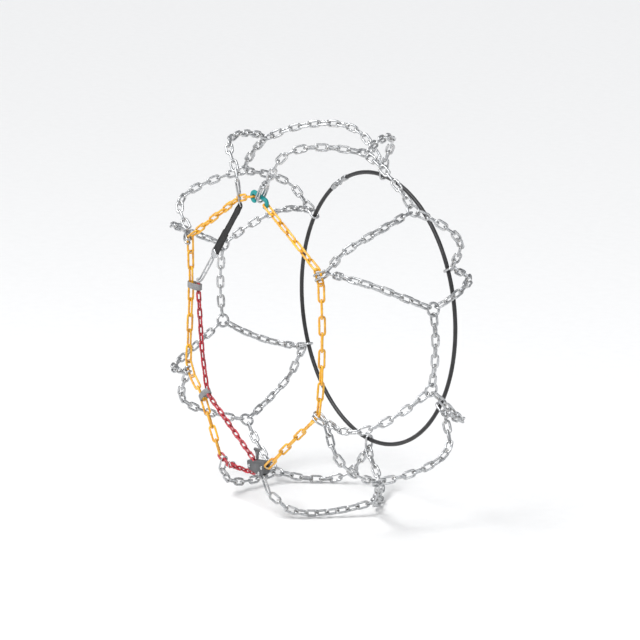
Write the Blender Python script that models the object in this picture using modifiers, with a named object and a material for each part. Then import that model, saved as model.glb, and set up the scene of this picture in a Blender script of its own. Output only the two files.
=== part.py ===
"""Snow chain for one car wheel, in the shape it holds when it is fitted on a 225/45 R17 tyre.

Metres. The origin is the wheel's centre, the axle runs along Y, the street side of the wheel is at -Y,
and +Z is up. The net has six diamonds. Outer and inner corner k sits at 90 - 60 (k - 1) degrees, so 1 is
at the top and 2 is at the upper right. Each diamond has two rings on the tread, a before its corner and b
after it.
"""

import bisect
import math

import bmesh
import bpy
from mathutils import Matrix, Vector

# Tyre that the chain fits, and the middle line of the chain that lies on it
CROWN_R = 0.3225
BEAD_R = 0.2635
SEAT_HALF_WIDTH = 0.1165
SHOULDER = 3.2
SIDE_R = 0.228
SIDE_Y = 0.1216

# Wire and rod sizes
TREAD_R = 0.0040
SIDE_CHAIN_R = 0.0032
TENSION_R = 0.0027
HOOP_R = 0.0035
CONNECTOR_WIRE = 0.0018
GAP = 0.0006
BEND_RUN = 0.0045

# Tread rings: angle round the tyre in degrees and distance from its middle, as the fitted net hangs
RING_R = 0.0105
RING_WIRE = 0.0021
RING_SEAT_R = 0.3205
RINGS = {
    "1a": (121.0, 0.010), "1b": (65.5, 0.004),
    "2a": (41.5, 0.027), "2b": (12.0, 0.017),
    "3a": (-11.5, 0.015), "3b": (-46.0, -0.020),
    "4a": (-65.0, 0.027), "4b": (-113.5, 0.010),
    "5a": (-135.5, 0.012), "5b": (-168.0, 0.016),
    "6a": (168.0, 0.016), "6b": (140.0, 0.012),
}
# Taut chains still hang this far down between their ends, and the hoop has turned a little with the wheel
DROOP = 0.006
INNER_TURN = -4.0
RING_REACH = RING_R + RING_WIRE + GAP

# Corners. Outer: radius where the chain turns, where its halves start, how far apart in degrees, and the
# connector's head. Inner: radius and, for rings a and b, (y from the hoop, degrees) where the halves start
TURN_R, ARM_R, ARM_TURN = SIDE_R + 0.0155, SIDE_R + 0.0225, 1.4
CONNECTOR_HEAD_R = SIDE_R + 0.0270
INNER_ARM_R, INNER_ARM_A, INNER_ARM_B = SIDE_R + 0.017, (-0.0068, 1.8), (0.0030, -1.8)
INNER_LOOP_R = HOOP_R + TREAD_R + 0.0012
CONNECTOR_HALF, END_HOOK_HALF, LOW_LINK_HALF = 0.0066, 0.0062, 0.0056

# Points of the street side, as (x, z)
LEFT_END = (-0.0430, 0.2034)
LEFT_LOBE = (0.0030, 0.2125)
RIGHT_LOBE = (0.0335, 0.2050)
BOW_FOOT, BOW_HEAD = (0.0170, 0.2080), (0.0345, 0.2350)
LEFT_HOOK_FOOT, LEFT_HOOK_HEAD = (-0.0405, 0.1930), (-0.0510, 0.2345)
UPPER_GUIDE_YELLOW, UPPER_GUIDE_RED = (-0.1930, 0.0330), (-0.1706, 0.0300)
LOWER_GUIDE_YELLOW, LOWER_GUIDE_RED = (-0.1546, -0.1532), (-0.1400, -0.1440)
YELLOW_END = (-0.0996, -0.2399)
TENSION_START, TENSION_END = (-0.0850, -0.2470), (-0.1703, 0.0370)
TENSION_SAG = [(-0.0700, -0.2510), (-0.0380, -0.2505)]
TENSION_BEND = (-0.1575, -0.0780)
# The slack right side chain between corners 2 and 3, as (x, y, z)
RIGHT_BOW = [
    (0.2002, -0.1199, 0.0770), (0.2018, -0.1188, 0.0290),
    (0.2015, -0.1190, -0.0200), (0.2007, -0.1195, -0.0690),
]
LOW_LINK_FOOT, LOW_LINK_HEAD = (-0.0850, -0.2412), (-0.0945, -0.2660)
STRAP_TOP, STRAP_END = (-0.0425, 0.1880), (-0.1235, 0.0920)
HOOK_TOP, HOOK_TIP = (-0.1251, 0.0893), (-0.1650, 0.0430)

# Closing hook, strap, guides, and the hoop's clasp, whose place and half width are angles in degrees
LOBE_R, HOOK_R, HOOK_WAIST = 0.0068, 0.0031, (0.0215, 0.2145)
# Start and turn of each lobe, in degrees
LEFT_ARC, RIGHT_ARC = (-75, -205), (75, -165)
STRAP_WIDTH, STRAP_T, STRAP_ROUND = 0.0160, 0.0026, 0.0009
STRAP_HOOK_WIRE = 0.0016
# The strap hook's wire: distances below its top, then (above its tip, out) round its bend
STRAP_HOOK_SHANK = (0.0006, 0.020)
STRAP_HOOK_BEND = [(0.012, 0), (0.003, 0.001), (0, 0.0035), (0.002, 0.0065), (0.008, 0.0075)]
GUIDE_CLEARANCE, GUIDE_WALL, GUIDE_HEIGHT, RED_SLACK = 0.0014, 0.0021, 0.0105, 0.0020
GUIDE_ROUND, GUIDE_HOLE_ROUND = 0.0055, 0.0040
CLASP, CLASP_HALF = 120.0, 6.2
CLASP_GAP, FERRULE_R, FERRULE_SPAN = 0.15, 0.0048, 3.4
EYE_AT, EYE_R, EYE_WIRE = 0.0045, 0.0065, 0.0016
CLASP_HOOK_AT, CLASP_HOOK_R, CLASP_HOOK_WIRE = -0.0009, 0.0049, 0.0015
SHANK_AT, SHANK_BEND = -0.0120, (-0.0045, -0.0010)

# Tensioner: centre, layers along Y from the street side, and points (x, z) from its centre
TENSIONER = (0.0240, -0.2355)
FRONT_Y, FRONT_WALL = -0.1301, 0.0016
WALL_END_Y = -0.1192
BACK_Y, BACK_WALL = -0.1189, 0.0020
CHAIN_Y = -0.1252
RATCHET_Y, RATCHET_T = -0.1210, 0.0022
SIDE_WALL = 0.0016
BODY = [(-0.0284, 0.0081), (0.0257, 0.0163), (0.0235, -0.0034), (0.0127, -0.0120), (-0.0243, -0.0066)]
BODY_ROUND = 0.0034
RIVETS = {"left": (-0.0197, -0.0002), "right": (0.0182, 0.0042), "lower": (0.0103, -0.0070)}
RIVET_R, RIVET_HEAD_R, RIVET_HEAD_T, RIVET_HOLE_R = 0.0015, 0.0030, 0.0012, 0.0018
RIVET_TAIL_R, RIVET_TAIL_T, TAIL_POCKET_R, TAIL_POCKET = 0.0026, 0.0008, 0.0030, 0.0012
WHEEL = (-0.0090, -0.0023)
WHEEL_R, WHEEL_BORE_R, AXLE_R = 0.0064, 0.0021, 0.0017
WRAP_R = 0.0096
TEETH, TOOTH_R, VALLEY_R = 12, 0.0066, 0.0057
KNOB_X, KNOB_T = -0.0103, 0.0036
SPRING_X, SPRING_TOP, SPRING_FOOT = -0.0160, 0.0078, 0.0060
SPRING_R, SPRING_WIRE, SPRING_TURNS = 0.0009, 0.00015, 2
TENSIONER_HOOK_FOOT = (TENSIONER[0] + 0.0083, TENSIONER[1] - 0.0040)
TENSIONER_HOOK_HEAD = (0.0600, -0.2760)
TENSIONER_HOOK_HALF, TENSIONER_HOOK_WIRE = 0.0043, 0.0016
# Where the right side chain ends in the cover, and where round the wheel the tension chain meets it
SIDE_CHAIN_END, WRAP_START = (0.0290, 0.0012, 0.0060), -98
# Openings in the cover's wall, as low x, high x, low z and high z
CHAIN_IN, CHAIN_OUT = (-0.0225, 0.0045, -0.0200, -0.0050), (-0.0185, -0.0020, 0.0060, 0.0200)
WHEEL_SLOT, HOOK_SLOT = (-0.0170, -0.0010, -0.0200, -0.0045), (0.0051, 0.0210, -0.0200, -0.0040)
KNOB_SLOT = (KNOB_X - 0.0030, KNOB_X + 0.0030, 0.0070, 0.0200)
CHAIN_SLOT_Y, WALL_SLOT_Y = (FRONT_Y + FRONT_WALL + 0.0001, CHAIN_Y + 0.0031), (CHAIN_Y + 0.0026, 0)
# Clearances along the axle, and how far a cutter reaches past what it cuts
RIVET_GAP, TAIL_GAP, AXLE_GAP, WHEEL_GAP, PAST = 0.0003, 0.0001, 0.0003, 0.0004, 0.01
WHEEL_BACK_Y = RATCHET_Y - 0.0009
TOOTH_START, TOOTH_ROOT, TOOTH_TIP = 85, 0.35, 0.90
PAWL_LAYER, PAWL_BOSS_R = (RATCHET_Y - 0.0006, RATCHET_Y + 0.0009), 0.0026
PAWL_ARM = [
    (-0.0208, 0.0016), (-0.0150, 0.0056), (-0.0100, 0.0070), (-0.0046, 0.0070), (-0.0046, 0.0056),
    (-0.0081, 0.0052), (-0.0090, 0.0038), (-0.0098, 0.0050), (-0.0115, 0.0050), (-0.0150, 0.0030),
    (-0.0186, 0.0000),
]
# The knob's outline has its x from KNOB_X
KNOB = [
    (-0.0030, 0.0128), (-0.0030, 0.0236), (-0.0098, 0.0245), (-0.0098, 0.0292), (0.0092, 0.0300),
    (0.0092, 0.0252), (0.0030, 0.0236), (0.0030, 0.0128),
]
KNOB_Y = RATCHET_Y + 0.0008
TONGUE, TONGUE_T = (KNOB_X - 0.0024, KNOB_X + 0.0024, 0.0076, 0.0150), 0.0018

COLOURS = {
    "zinc": ((0.72, 0.73, 0.74, 1), 0.30, 1.0),
    "yellow": ((0.95, 0.55, 0.03, 1), 0.40, 0.0),
    "red": ((0.60, 0.02, 0.05, 1), 0.40, 0.0),
    "teal": ((0.0, 0.22, 0.23, 1), 0.40, 0.0),
    "grey": ((0.09, 0.09, 0.10, 1), 0.55, 0.0),
    "guide": ((0.17, 0.17, 0.18, 1), 0.60, 0.0),
    "rubber": ((0.02, 0.02, 0.02, 1), 0.80, 0.0),
    "hoop": ((0.03, 0.03, 0.03, 1), 0.50, 0.0),
}


def clear_scene():
    for obj in list(bpy.data.objects):
        bpy.data.objects.remove(obj, do_unlink=True)
    for collection in list(bpy.data.collections):
        bpy.data.collections.remove(collection)


def new_collection(name):
    collection = bpy.data.collections.new(name)
    bpy.context.scene.collection.children.link(collection)
    return collection


def material(name, slot):
    colour, roughness, metallic = COLOURS[slot]
    made = bpy.data.materials.new(name)
    made.use_nodes = True
    shader = made.node_tree.nodes["Principled BSDF"]
    shader.inputs["Base Color"].default_value = colour
    shader.inputs["Roughness"].default_value = roughness
    shader.inputs["Metallic"].default_value = metallic
    return made


def place(obj, slot, parent=None):
    PARTS.objects.link(obj)
    obj.data.materials.clear()
    obj.data.materials.append(material(obj.name, slot))
    obj.parent = parent
    return obj


# Places on the wheel


def on_wheel(radius, y, degrees):
    angle = math.radians(degrees)
    return Vector((radius * math.cos(angle), y, radius * math.sin(angle)))


def street(point, y=-SIDE_Y):
    return Vector((point[0], y, point[1]))


def corner_angle(k):
    return 90 - 60 * (k - 1)


def seat_radius(y):
    """Radius of the chain's middle line at this distance from the tyre's middle, on its tread or shoulder."""
    part = 1 - (min(abs(y) / SEAT_HALF_WIDTH, 1)) ** SHOULDER
    return BEAD_R + (CROWN_R - BEAD_R) * part ** (1 / SHOULDER)


def meridian(y_end, side, samples=60):
    """(radius, y) points from the tyre's widest place on this side, over the shoulder, to y_end."""
    points = []
    for i in range(samples + 1):
        angle = math.pi / 2 * (1 - 2 * i / samples)
        sine = math.sin(angle)
        y = SEAT_HALF_WIDTH * math.copysign(abs(sine) ** (2 / SHOULDER), sine)
        points.append((seat_radius(y), y * side))
    kept = [p for p in points if p[1] * side > y_end * side]
    return kept + [(seat_radius(y_end), y_end)]


def resampled(points, count):
    """The same path with evenly spaced points."""
    lengths = [0.0]
    for a, b in zip(points, points[1:]):
        lengths.append(lengths[-1] + math.dist(a, b))
    result = []
    for i in range(count):
        wanted = lengths[-1] * i / (count - 1)
        j = min(max(1, bisect.bisect_left(lengths, wanted - 1e-9)), len(lengths) - 1)
        share = (wanted - lengths[j - 1]) / (lengths[j] - lengths[j - 1])
        result.append(tuple(a + (b - a) * share for a, b in zip(points[j - 1], points[j])))
    return result


def arm_path(start, ring, side, count=11):
    """Path of a chain from a start (radius, y, degrees) on the sidewall to just short of a ring."""
    radius, y, degrees = start
    ring_degrees, ring_y = RINGS[ring]
    ring_degrees += 360 * round((degrees - ring_degrees) / 360)
    seat = [p for p in meridian(ring_y, side) if p[0] > radius + 0.002 or abs(p[1]) < 0.1]
    section = resampled([(radius, y)] + seat, 60)
    points = []
    for i, (r, yy) in enumerate(section):
        share = i / (len(section) - 1)
        angle = degrees + (ring_degrees - degrees) * share
        angle -= math.degrees(DROOP * math.cos(math.radians(angle)) * math.sin(math.pi * share) / r)
        points.append(on_wheel(r, yy, angle))
    centre = on_wheel(CROWN_R, ring_y, ring_degrees)
    points = [p for p in points if (p - centre).length > RING_REACH + 0.002]
    heading = (points[-1] - centre).normalized()
    points.append(centre + heading * RING_REACH)
    return [Vector(p) for p in resampled([tuple(p) for p in points], count)]


# Shapes


def tube(name, points, radius, slot, closed=False, sides=6, parent=None):
    curve = bpy.data.curves.new(name, "CURVE")
    curve.dimensions = "3D"
    curve.bevel_depth = radius
    curve.bevel_resolution = (sides - 4) // 2
    curve.use_fill_caps = not closed
    spline = curve.splines.new("POLY")
    spline.points.add(len(points) - 1)
    for target, point in zip(spline.points, points):
        target.co = (*point, 1)
    spline.use_cyclic_u = closed
    return place(bpy.data.objects.new(name, curve), slot, parent)


def mesh_object(name, bm):
    mesh = bpy.data.meshes.new(name)
    bm.to_mesh(mesh)
    bm.free()
    return bpy.data.objects.new(name, mesh)


def smooth(obj):
    obj.data.shade_smooth()
    obj.data.set_sharp_from_angle(angle=math.radians(35))
    return obj


def rounded(outline, radius, steps=4):
    """A polygon's points with each corner turned into an arc."""
    result = []
    count = len(outline)
    for i, corner in enumerate(outline):
        here = Vector(corner)
        to_last = (Vector(outline[i - 1]) - here).normalized()
        to_next = (Vector(outline[(i + 1) % count]) - here).normalized()
        half = to_last.angle(to_next) / 2
        centre = here + (to_last + to_next).normalized() * radius / math.sin(half)
        first = here + to_last * radius / math.tan(half) - centre
        last = here + to_next * radius / math.tan(half) - centre
        for step in range(steps + 1):
            arm = first.lerp(last, step / steps).normalized() * radius
            result.append(tuple(centre + arm))
    return result


def inset(outline, distance):
    """A convex polygon, listed clockwise, moved inwards on every side."""
    lines = []
    count = len(outline)
    for i in range(count):
        a, b = Vector(outline[i]), Vector(outline[(i + 1) % count])
        along = (b - a).normalized()
        inwards = Vector((along.y, -along.x))
        lines.append((a + inwards * distance, along))
    result = []
    for i in range(count):
        (a, u), (b, v) = lines[i - 1], lines[i]
        t = (b - a).cross(v) / u.cross(v)
        result.append(tuple(a + u * t))
    return result


def slab(name, outline, y_low, y_high):
    """A solid with this (x, z) outline between two places along Y."""
    bm = bmesh.new()
    face = bm.faces.new([bm.verts.new((x, y_low, z)) for x, z in outline])
    made = bmesh.ops.extrude_face_region(bm, geom=[face])
    moved = [item for item in made["geom"] if isinstance(item, bmesh.types.BMVert)]
    bmesh.ops.translate(bm, verts=moved, vec=(0, y_high - y_low, 0))
    bmesh.ops.recalc_face_normals(bm, faces=bm.faces)
    return mesh_object(name, bm)


def disc(name, centre, radius, y_low, y_high, sides=20):
    turns = [math.tau * i / sides for i in range(sides)]
    outline = [(centre[0] + radius * math.cos(t), centre[1] + radius * math.sin(t)) for t in turns]
    return slab(name, outline, y_low, y_high)


def combine(obj, other, operation, parent=None):
    """Cuts another solid from this one, or joins it, with a Boolean modifier."""
    CUTTERS.objects.link(other)
    other.parent = parent
    other.hide_render = True
    other.display_type = "WIRE"
    modifier = obj.modifiers.new(other.name, "BOOLEAN")
    modifier.operation = operation
    modifier.solver = "EXACT"
    modifier.object = other
    return obj


def box_outline(x_low, x_high, z_low, z_high):
    return [(x_low, z_low), (x_low, z_high), (x_high, z_high), (x_high, z_low)]


def oval_link(name, foot, head, across, half_width, wire, slot="zinc", steps=6, parent=None):
    """A long round-ended link of wire from foot to head, opened towards the given direction."""
    foot, head, across = Vector(foot), Vector(head), Vector(across).normalized()
    along = (head - foot).normalized()
    points = []
    for centre, turn in ((head - along * half_width, 0), (foot + along * half_width, math.pi)):
        for step in range(steps + 1):
            angle = turn + math.pi * step / steps
            arm = across * math.cos(angle) + along * math.sin(angle)
            points.append(centre + arm * half_width)
    return tube(name, points, wire, slot, closed=True, sides=8, parent=parent)


# The net


def tread_rings():
    for name, (degrees, y) in RINGS.items():
        centre = on_wheel(RING_SEAT_R, y, degrees)
        bpy.ops.mesh.primitive_torus_add(
            major_segments=20, minor_segments=6, major_radius=RING_R, minor_radius=RING_WIRE
        )
        ring = bpy.context.object
        for collection in list(ring.users_collection):
            collection.objects.unlink(ring)
        ring.name = f"tread_ring_{name}"
        ring.location = centre
        ring.rotation_euler = Vector((centre.x, 0, centre.z)).to_track_quat("Z", "Y").to_euler()
        smooth(place(ring, "zinc"))


def outer_cross_chains():
    """At corners 2, 3, 5 and 6 one chain runs from ring a through the connector to ring b."""
    for k in (2, 3, 5, 6):
        degrees = corner_angle(k)
        turn = on_wheel(TURN_R, -SIDE_Y, degrees)
        start_a = (ARM_R, -SIDE_Y, degrees + ARM_TURN)
        start_b = (ARM_R, -SIDE_Y, degrees - ARM_TURN)
        path = arm_path(start_a, f"{k}a", -1)[::-1] + [turn] + arm_path(start_b, f"{k}b", -1)
        tube(f"outer_cross_chain_{k}", path, TREAD_R, "zinc")


def connectors():
    """Double-wire hooks that hold the tread chain to the side chain."""
    for k in (2, 3, 5, 6):
        degrees = corner_angle(k)
        foot = on_wheel(SIDE_R - BEND_RUN / 2 - SIDE_CHAIN_R - GAP - CONNECTOR_WIRE, -SIDE_Y, degrees)
        head = on_wheel(CONNECTOR_HEAD_R, -SIDE_Y, degrees)
        oval_link(f"side_connector_{k}", foot, head, (0, 1, 0), CONNECTOR_HALF, CONNECTOR_WIRE)


def polar(point):
    return math.hypot(*point), math.degrees(math.atan2(point[1], point[0]))


def single_outer_arms():
    """At the top and the bottom the net is open, and each half of the corner has its own chain."""
    reach = CONNECTOR_WIRE + TREAD_R * 0.55 + GAP
    ends = {
        "top_left": (LEFT_HOOK_HEAD, "1a"),
        "top_right": (BOW_HEAD, "1b"),
        "bottom_left": (LOW_LINK_HEAD, "4b"),
        "bottom_right": (TENSIONER_HOOK_HEAD, "4a"),
    }
    for name, (head, ring) in ends.items():
        radius, degrees = polar(head)
        start = (radius + reach, -SIDE_Y, degrees)
        tube(f"outer_cross_chain_{name}", arm_path(start, ring, -1), TREAD_R, "zinc")


def inner_cross_chains():
    """Each inner corner is one chain from ring a, round the hoop and back to ring b."""
    for k in range(1, 7):
        degrees = corner_angle(k) + INNER_TURN
        loop = []
        for step in range(7):
            angle = math.radians(60 + 240 * step / 6)
            r = SIDE_R + INNER_LOOP_R * math.cos(angle)
            y = SIDE_Y - INNER_LOOP_R * math.sin(angle)
            loop.append(on_wheel(r, y, degrees + 1.0 - step / 3))
        start_a = (INNER_ARM_R, SIDE_Y + INNER_ARM_A[0], degrees + INNER_ARM_A[1])
        start_b = (INNER_ARM_R, SIDE_Y + INNER_ARM_B[0], degrees + INNER_ARM_B[1])
        path = arm_path(start_a, f"{k}a", 1)[::-1] + loop + arm_path(start_b, f"{k}b", 1)
        tube(f"inner_cross_chain_{k}", path, TREAD_R, "zinc")


def centre_chains():
    """Short chains round the middle of the tread, from ring b to the next diamond's ring a."""
    for k in range(1, 7):
        following = k % 6 + 1
        (degrees_b, y_b), (degrees_a, y_a) = RINGS[f"{k}b"], RINGS[f"{following}a"]
        degrees_a += 360 * round((degrees_b - degrees_a) / 360)
        length = math.hypot(math.radians(degrees_b - degrees_a) * CROWN_R, y_b - y_a)
        ends = RING_REACH / length
        path = []
        for step in range(6):
            share = ends + (1 - 2 * ends) * step / 5
            degrees = degrees_b + (degrees_a - degrees_b) * share
            path.append(on_wheel(CROWN_R, y_b + (y_a - y_b) * share, degrees))
        tube(f"centre_chain_{k}_{following}", path, TREAD_R, "zinc")


# The inner hoop and its clasp

def inner_hoop():
    first = CLASP + CLASP_HALF + CLASP_GAP
    span = 360 - 2 * (CLASP_HALF + CLASP_GAP)
    path = [on_wheel(SIDE_R, SIDE_Y, first + span * i / 56) for i in range(57)]
    tube("inner_hoop", path, HOOP_R, "hoop", sides=8)


def clasp_end(name, sign, loop_points, wire):
    """A pressed ferrule on the cable's end, with a wire loop on it."""
    ferrule = [on_wheel(SIDE_R, SIDE_Y, CLASP + sign * (CLASP_HALF - step)) for step in (0, FERRULE_SPAN)]
    made = tube(name, ferrule, FERRULE_R, "zinc", sides=10)
    loop = tube(f"{name}_loop", loop_points, wire, "zinc", closed=sign > 0, sides=8)
    body = as_mesh(made, PARTS)
    return combine(body, as_mesh(loop, None), "UNION")


def as_mesh(obj, collection):
    """A mesh object with this curve's evaluated shape, in place of the curve."""
    bpy.context.view_layer.update()
    evaluated = obj.evaluated_get(bpy.context.evaluated_depsgraph_get())
    mesh = bpy.data.meshes.new_from_object(evaluated)
    bm = bmesh.new()
    bm.from_mesh(mesh)
    bmesh.ops.remove_doubles(bm, verts=bm.verts, dist=1e-6)
    bmesh.ops.recalc_face_normals(bm, faces=bm.faces)
    bm.to_mesh(mesh)
    bm.free()
    name, matrix, kept = obj.name, obj.matrix_world.copy(), list(obj.data.materials)
    bpy.data.objects.remove(obj, do_unlink=True)
    made = bpy.data.objects.new(name, mesh)
    made.matrix_world = matrix
    mesh.materials.clear()
    for item in kept:
        mesh.materials.append(item)
    if collection:
        collection.objects.link(made)
    return made


def hoop_clasp():
    middle = on_wheel(SIDE_R, SIDE_Y, CLASP)
    along = Vector((-math.sin(math.radians(CLASP)), 0, math.cos(math.radians(CLASP))))
    out = middle.copy()
    out.y = 0
    out.normalize()
    eye_centre = middle + along * EYE_AT
    eye = [eye_centre + along * EYE_R * math.cos(t) + Vector((0, EYE_R * math.sin(t), 0))
           for t in [math.tau * i / 14 for i in range(14)]]
    clasp_end("hoop_eye", 1, eye, EYE_WIRE)
    hook_centre = middle + along * CLASP_HOOK_AT
    shank = middle + along * SHANK_AT
    hook = [shank, hook_centre + along * SHANK_BEND[0] + out * SHANK_BEND[1]]
    for step in range(7):
        angle = math.radians(210 + 215 * step / 6)
        hook.append(hook_centre + (along * math.cos(angle) + out * math.sin(angle)) * CLASP_HOOK_R)
    clasp_end("hoop_hook", -1, hook, CLASP_HOOK_WIRE)


# The side chain and the tension chain


def corner(k):
    return on_wheel(SIDE_R, -SIDE_Y, corner_angle(k))


def toward(start, end, distance):
    start, end = Vector(start), Vector(end)
    return start + (end - start).normalized() * distance


def bent(points, run=BEND_RUN):
    """A path with two points at each bend, so that the tube keeps its width there."""
    result = [Vector(points[0])]
    for before, here, after in zip(points, points[1:], points[2:]):
        result += [toward(here, before, run), toward(here, after, run)]
    return result + [Vector(points[-1])]


def side_chains():
    lobe = street(LEFT_LOBE)
    end = Vector(SIDE_CHAIN_END) + Vector((TENSIONER[0], CHAIN_Y, TENSIONER[1]))
    left = [
        toward(lobe, street(LEFT_END), LOBE_R + HOOK_R + GAP), street(LEFT_END), corner(6),
        street(UPPER_GUIDE_YELLOW), corner(5), street(LOWER_GUIDE_YELLOW), street(YELLOW_END),
    ]
    tube("side_chain_left", bent(left), SIDE_CHAIN_R, "yellow", sides=8)
    right = [
        toward(street(RIGHT_LOBE), corner(2), LOBE_R + HOOK_R + GAP), corner(2),
        *(Vector(point) for point in RIGHT_BOW), corner(3), end,
    ]
    tube("side_chain_right", bent(right), SIDE_CHAIN_R, "yellow", sides=8)


def tension_chain():
    """One chain from the side chain's end, round the tensioner's wheel and up to the strap's hook."""
    start = toward(street(YELLOW_END), street(TENSION_START), SIDE_CHAIN_R + TENSION_R + GAP)
    wheel = Vector((TENSIONER[0] + WHEEL[0], CHAIN_Y, TENSIONER[1] + WHEEL[1]))
    guide = street(LOWER_GUIDE_RED)
    leaving = math.atan2(guide.z - wheel.z, guide.x - wheel.x) - math.pi / 2
    first = math.radians(WRAP_START)
    wrap = []
    for step in range(9):
        angle = first + (leaving - first) * step / 8
        wrap.append(wheel + Vector((math.cos(angle), 0, math.sin(angle))) * WRAP_R)
    before = [start] + [street(point) for point in (TENSION_START, *TENSION_SAG)]
    after = [street(point) for point in (LOWER_GUIDE_RED, TENSION_BEND, UPPER_GUIDE_RED, TENSION_END)]
    tube("tension_chain", before + wrap + bent([wrap[-1]] + after)[1:], TENSION_R, "red")


# The closure at the top

def closing_hook():
    """S-shaped hook with a lobe at each end, turning about the right lobe."""
    origin = street(RIGHT_LOBE)
    points = []
    for step in range(9):
        angle = math.radians(LEFT_ARC[0] + LEFT_ARC[1] * step / 8)
        points.append(street(LEFT_LOBE) + Vector((math.cos(angle), 0, math.sin(angle))) * LOBE_R)
    points.append(street(HOOK_WAIST))
    for step in range(7):
        angle = math.radians(RIGHT_ARC[0] + RIGHT_ARC[1] * step / 6)
        points.append(street(RIGHT_LOBE) + Vector((math.cos(angle), 0, math.sin(angle))) * LOBE_R)
    pivot = bpy.data.objects.new("closing_hook_axis", None)
    pivot.location = origin
    PARTS.objects.link(pivot)
    tube("closing_hook", [p - origin for p in points], HOOK_R, "teal", sides=8, parent=pivot)


def end_hooks():
    """Double-wire hooks on the net's open ends."""
    hooks = {
        "left_end_hook": (LEFT_HOOK_FOOT, LEFT_HOOK_HEAD, END_HOOK_HALF),
        "closing_bow": (BOW_FOOT, BOW_HEAD, END_HOOK_HALF),
        "lower_left_link": (LOW_LINK_FOOT, LOW_LINK_HEAD, LOW_LINK_HALF),
    }
    for name, (foot, head, half) in hooks.items():
        oval_link(name, street(foot), street(head), (0, 1, 0), half, CONNECTOR_WIRE)


# The strap and its hook


def strap():
    top, end = street(STRAP_TOP), street(STRAP_END)
    length = (end - top).length
    bm = bmesh.new()
    bmesh.ops.create_cube(bm, size=1)
    bmesh.ops.scale(bm, vec=(STRAP_WIDTH, STRAP_T, length - STRAP_HOOK_WIRE), verts=bm.verts)
    bmesh.ops.translate(bm, vec=(0, 0, -length / 2), verts=bm.verts)
    made = place(mesh_object("elastic_strap", bm), "rubber")
    up = (top - end).normalized()
    through = Vector((0, 1, 0))
    turned = Matrix((through.cross(up), through, up)).transposed()
    made.matrix_world = Matrix.Translation(top) @ turned.to_4x4()
    bevel = made.modifiers.new("round", "BEVEL")
    bevel.width, bevel.segments = STRAP_ROUND, 2


def strap_hook():
    top, tip = street(HOOK_TOP), street(HOOK_TIP)
    down = (tip - top).normalized()
    out = Vector((0, -1, 0))
    points = [top + down * below for below in STRAP_HOOK_SHANK]
    points += [tip - down * above + out * outward for above, outward in STRAP_HOOK_BEND]
    pivot = bpy.data.objects.new("strap_hook_axis", None)
    pivot.location = top
    PARTS.objects.link(pivot)
    tube("strap_hook", [p - top for p in points], STRAP_HOOK_WIRE, "zinc", sides=8, parent=pivot)


# The guides that hold the tension chain to the side chain

def guide(name, yellow, red, chain_direction):
    yellow, red = street(yellow), street(red)
    along = Vector(chain_direction).normalized()
    across = red - yellow
    across -= along * across.dot(along)
    half = across.length / 2
    across.normalize()
    inside = SIDE_CHAIN_R + GUIDE_CLEARANCE
    outside = inside + GUIDE_WALL
    left, right = -half, half + RED_SLACK
    outer = rounded(box_outline(left - outside, right + outside, -outside, outside), GUIDE_ROUND)
    hole = rounded(box_outline(left - inside, right + inside, -inside, inside), GUIDE_HOLE_ROUND)
    band = slab(name, outer, -GUIDE_HEIGHT / 2, GUIDE_HEIGHT / 2)
    cutter = slab(f"{name}_hole", hole, -GUIDE_HEIGHT, GUIDE_HEIGHT)
    place(band, "guide")
    # The outline's x runs across, its extrusion along the chain, and its z towards the street side
    turned = Matrix((across, along, across.cross(along))).transposed().to_4x4()
    turned.translation = yellow + across * half
    band.matrix_world = turned
    combine(band, cutter, "DIFFERENCE", parent=band)
    smooth(band)


def guides():
    guide("upper_guide", UPPER_GUIDE_YELLOW, UPPER_GUIDE_RED, street(UPPER_GUIDE_YELLOW) - corner(5))
    lower = street(LOWER_GUIDE_YELLOW)
    guide("lower_guide", LOWER_GUIDE_YELLOW, LOWER_GUIDE_RED,
          (corner(5) - lower).normalized() + (lower - street(YELLOW_END)).normalized())


# The tensioner


def tensioner():
    base = bpy.data.objects.new("tensioner_frame", None)
    base.location = (TENSIONER[0], 0, TENSIONER[1])
    PARTS.objects.link(base)
    front_cover(base)
    back_plate(base)
    for name, point in RIVETS.items():
        rivet(f"rivet_{name}", point, base)
    chain_wheel(base)
    locking_pawl(base)
    pawl_spring(base)
    release_knob(base)
    foot, head = street(TENSIONER_HOOK_FOOT, CHAIN_Y), street(TENSIONER_HOOK_HEAD, CHAIN_Y + 0.001)
    across = (head - foot).cross(Vector((0, 1, 0)))
    oval_link("tensioner_hook", foot, head, across, TENSIONER_HOOK_HALF, TENSIONER_HOOK_WIRE)


def front_cover(base):
    """Street-side shell: a plate with a wall round it, open where the chains and the knob pass."""
    inner_front = FRONT_Y + FRONT_WALL
    cover = slab("tensioner_front_cover", rounded(BODY, BODY_ROUND), FRONT_Y, WALL_END_Y)
    place(cover, "grey", base)
    hollow = rounded(inset(BODY, SIDE_WALL), BODY_ROUND - SIDE_WALL / 2)
    combine(cover, slab("cover_hollow", hollow, inner_front, 0), "DIFFERENCE", base)
    slots = {
        "chain_in": (CHAIN_IN, CHAIN_SLOT_Y), "chain_out": (CHAIN_OUT, CHAIN_SLOT_Y),
        "wheel": (WHEEL_SLOT, WALL_SLOT_Y), "knob": (KNOB_SLOT, WALL_SLOT_Y),
        "hook": (HOOK_SLOT, CHAIN_SLOT_Y),
    }
    for name, (opening, layer) in slots.items():
        combine(cover, slab(f"cover_{name}_slot", box_outline(*opening), *layer), "DIFFERENCE", base)
    for name, point in RIVETS.items():
        hole = disc(f"cover_{name}_hole", point, RIVET_HOLE_R, FRONT_Y - PAST, 0)
        combine(cover, hole, "DIFFERENCE", base)


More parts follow.
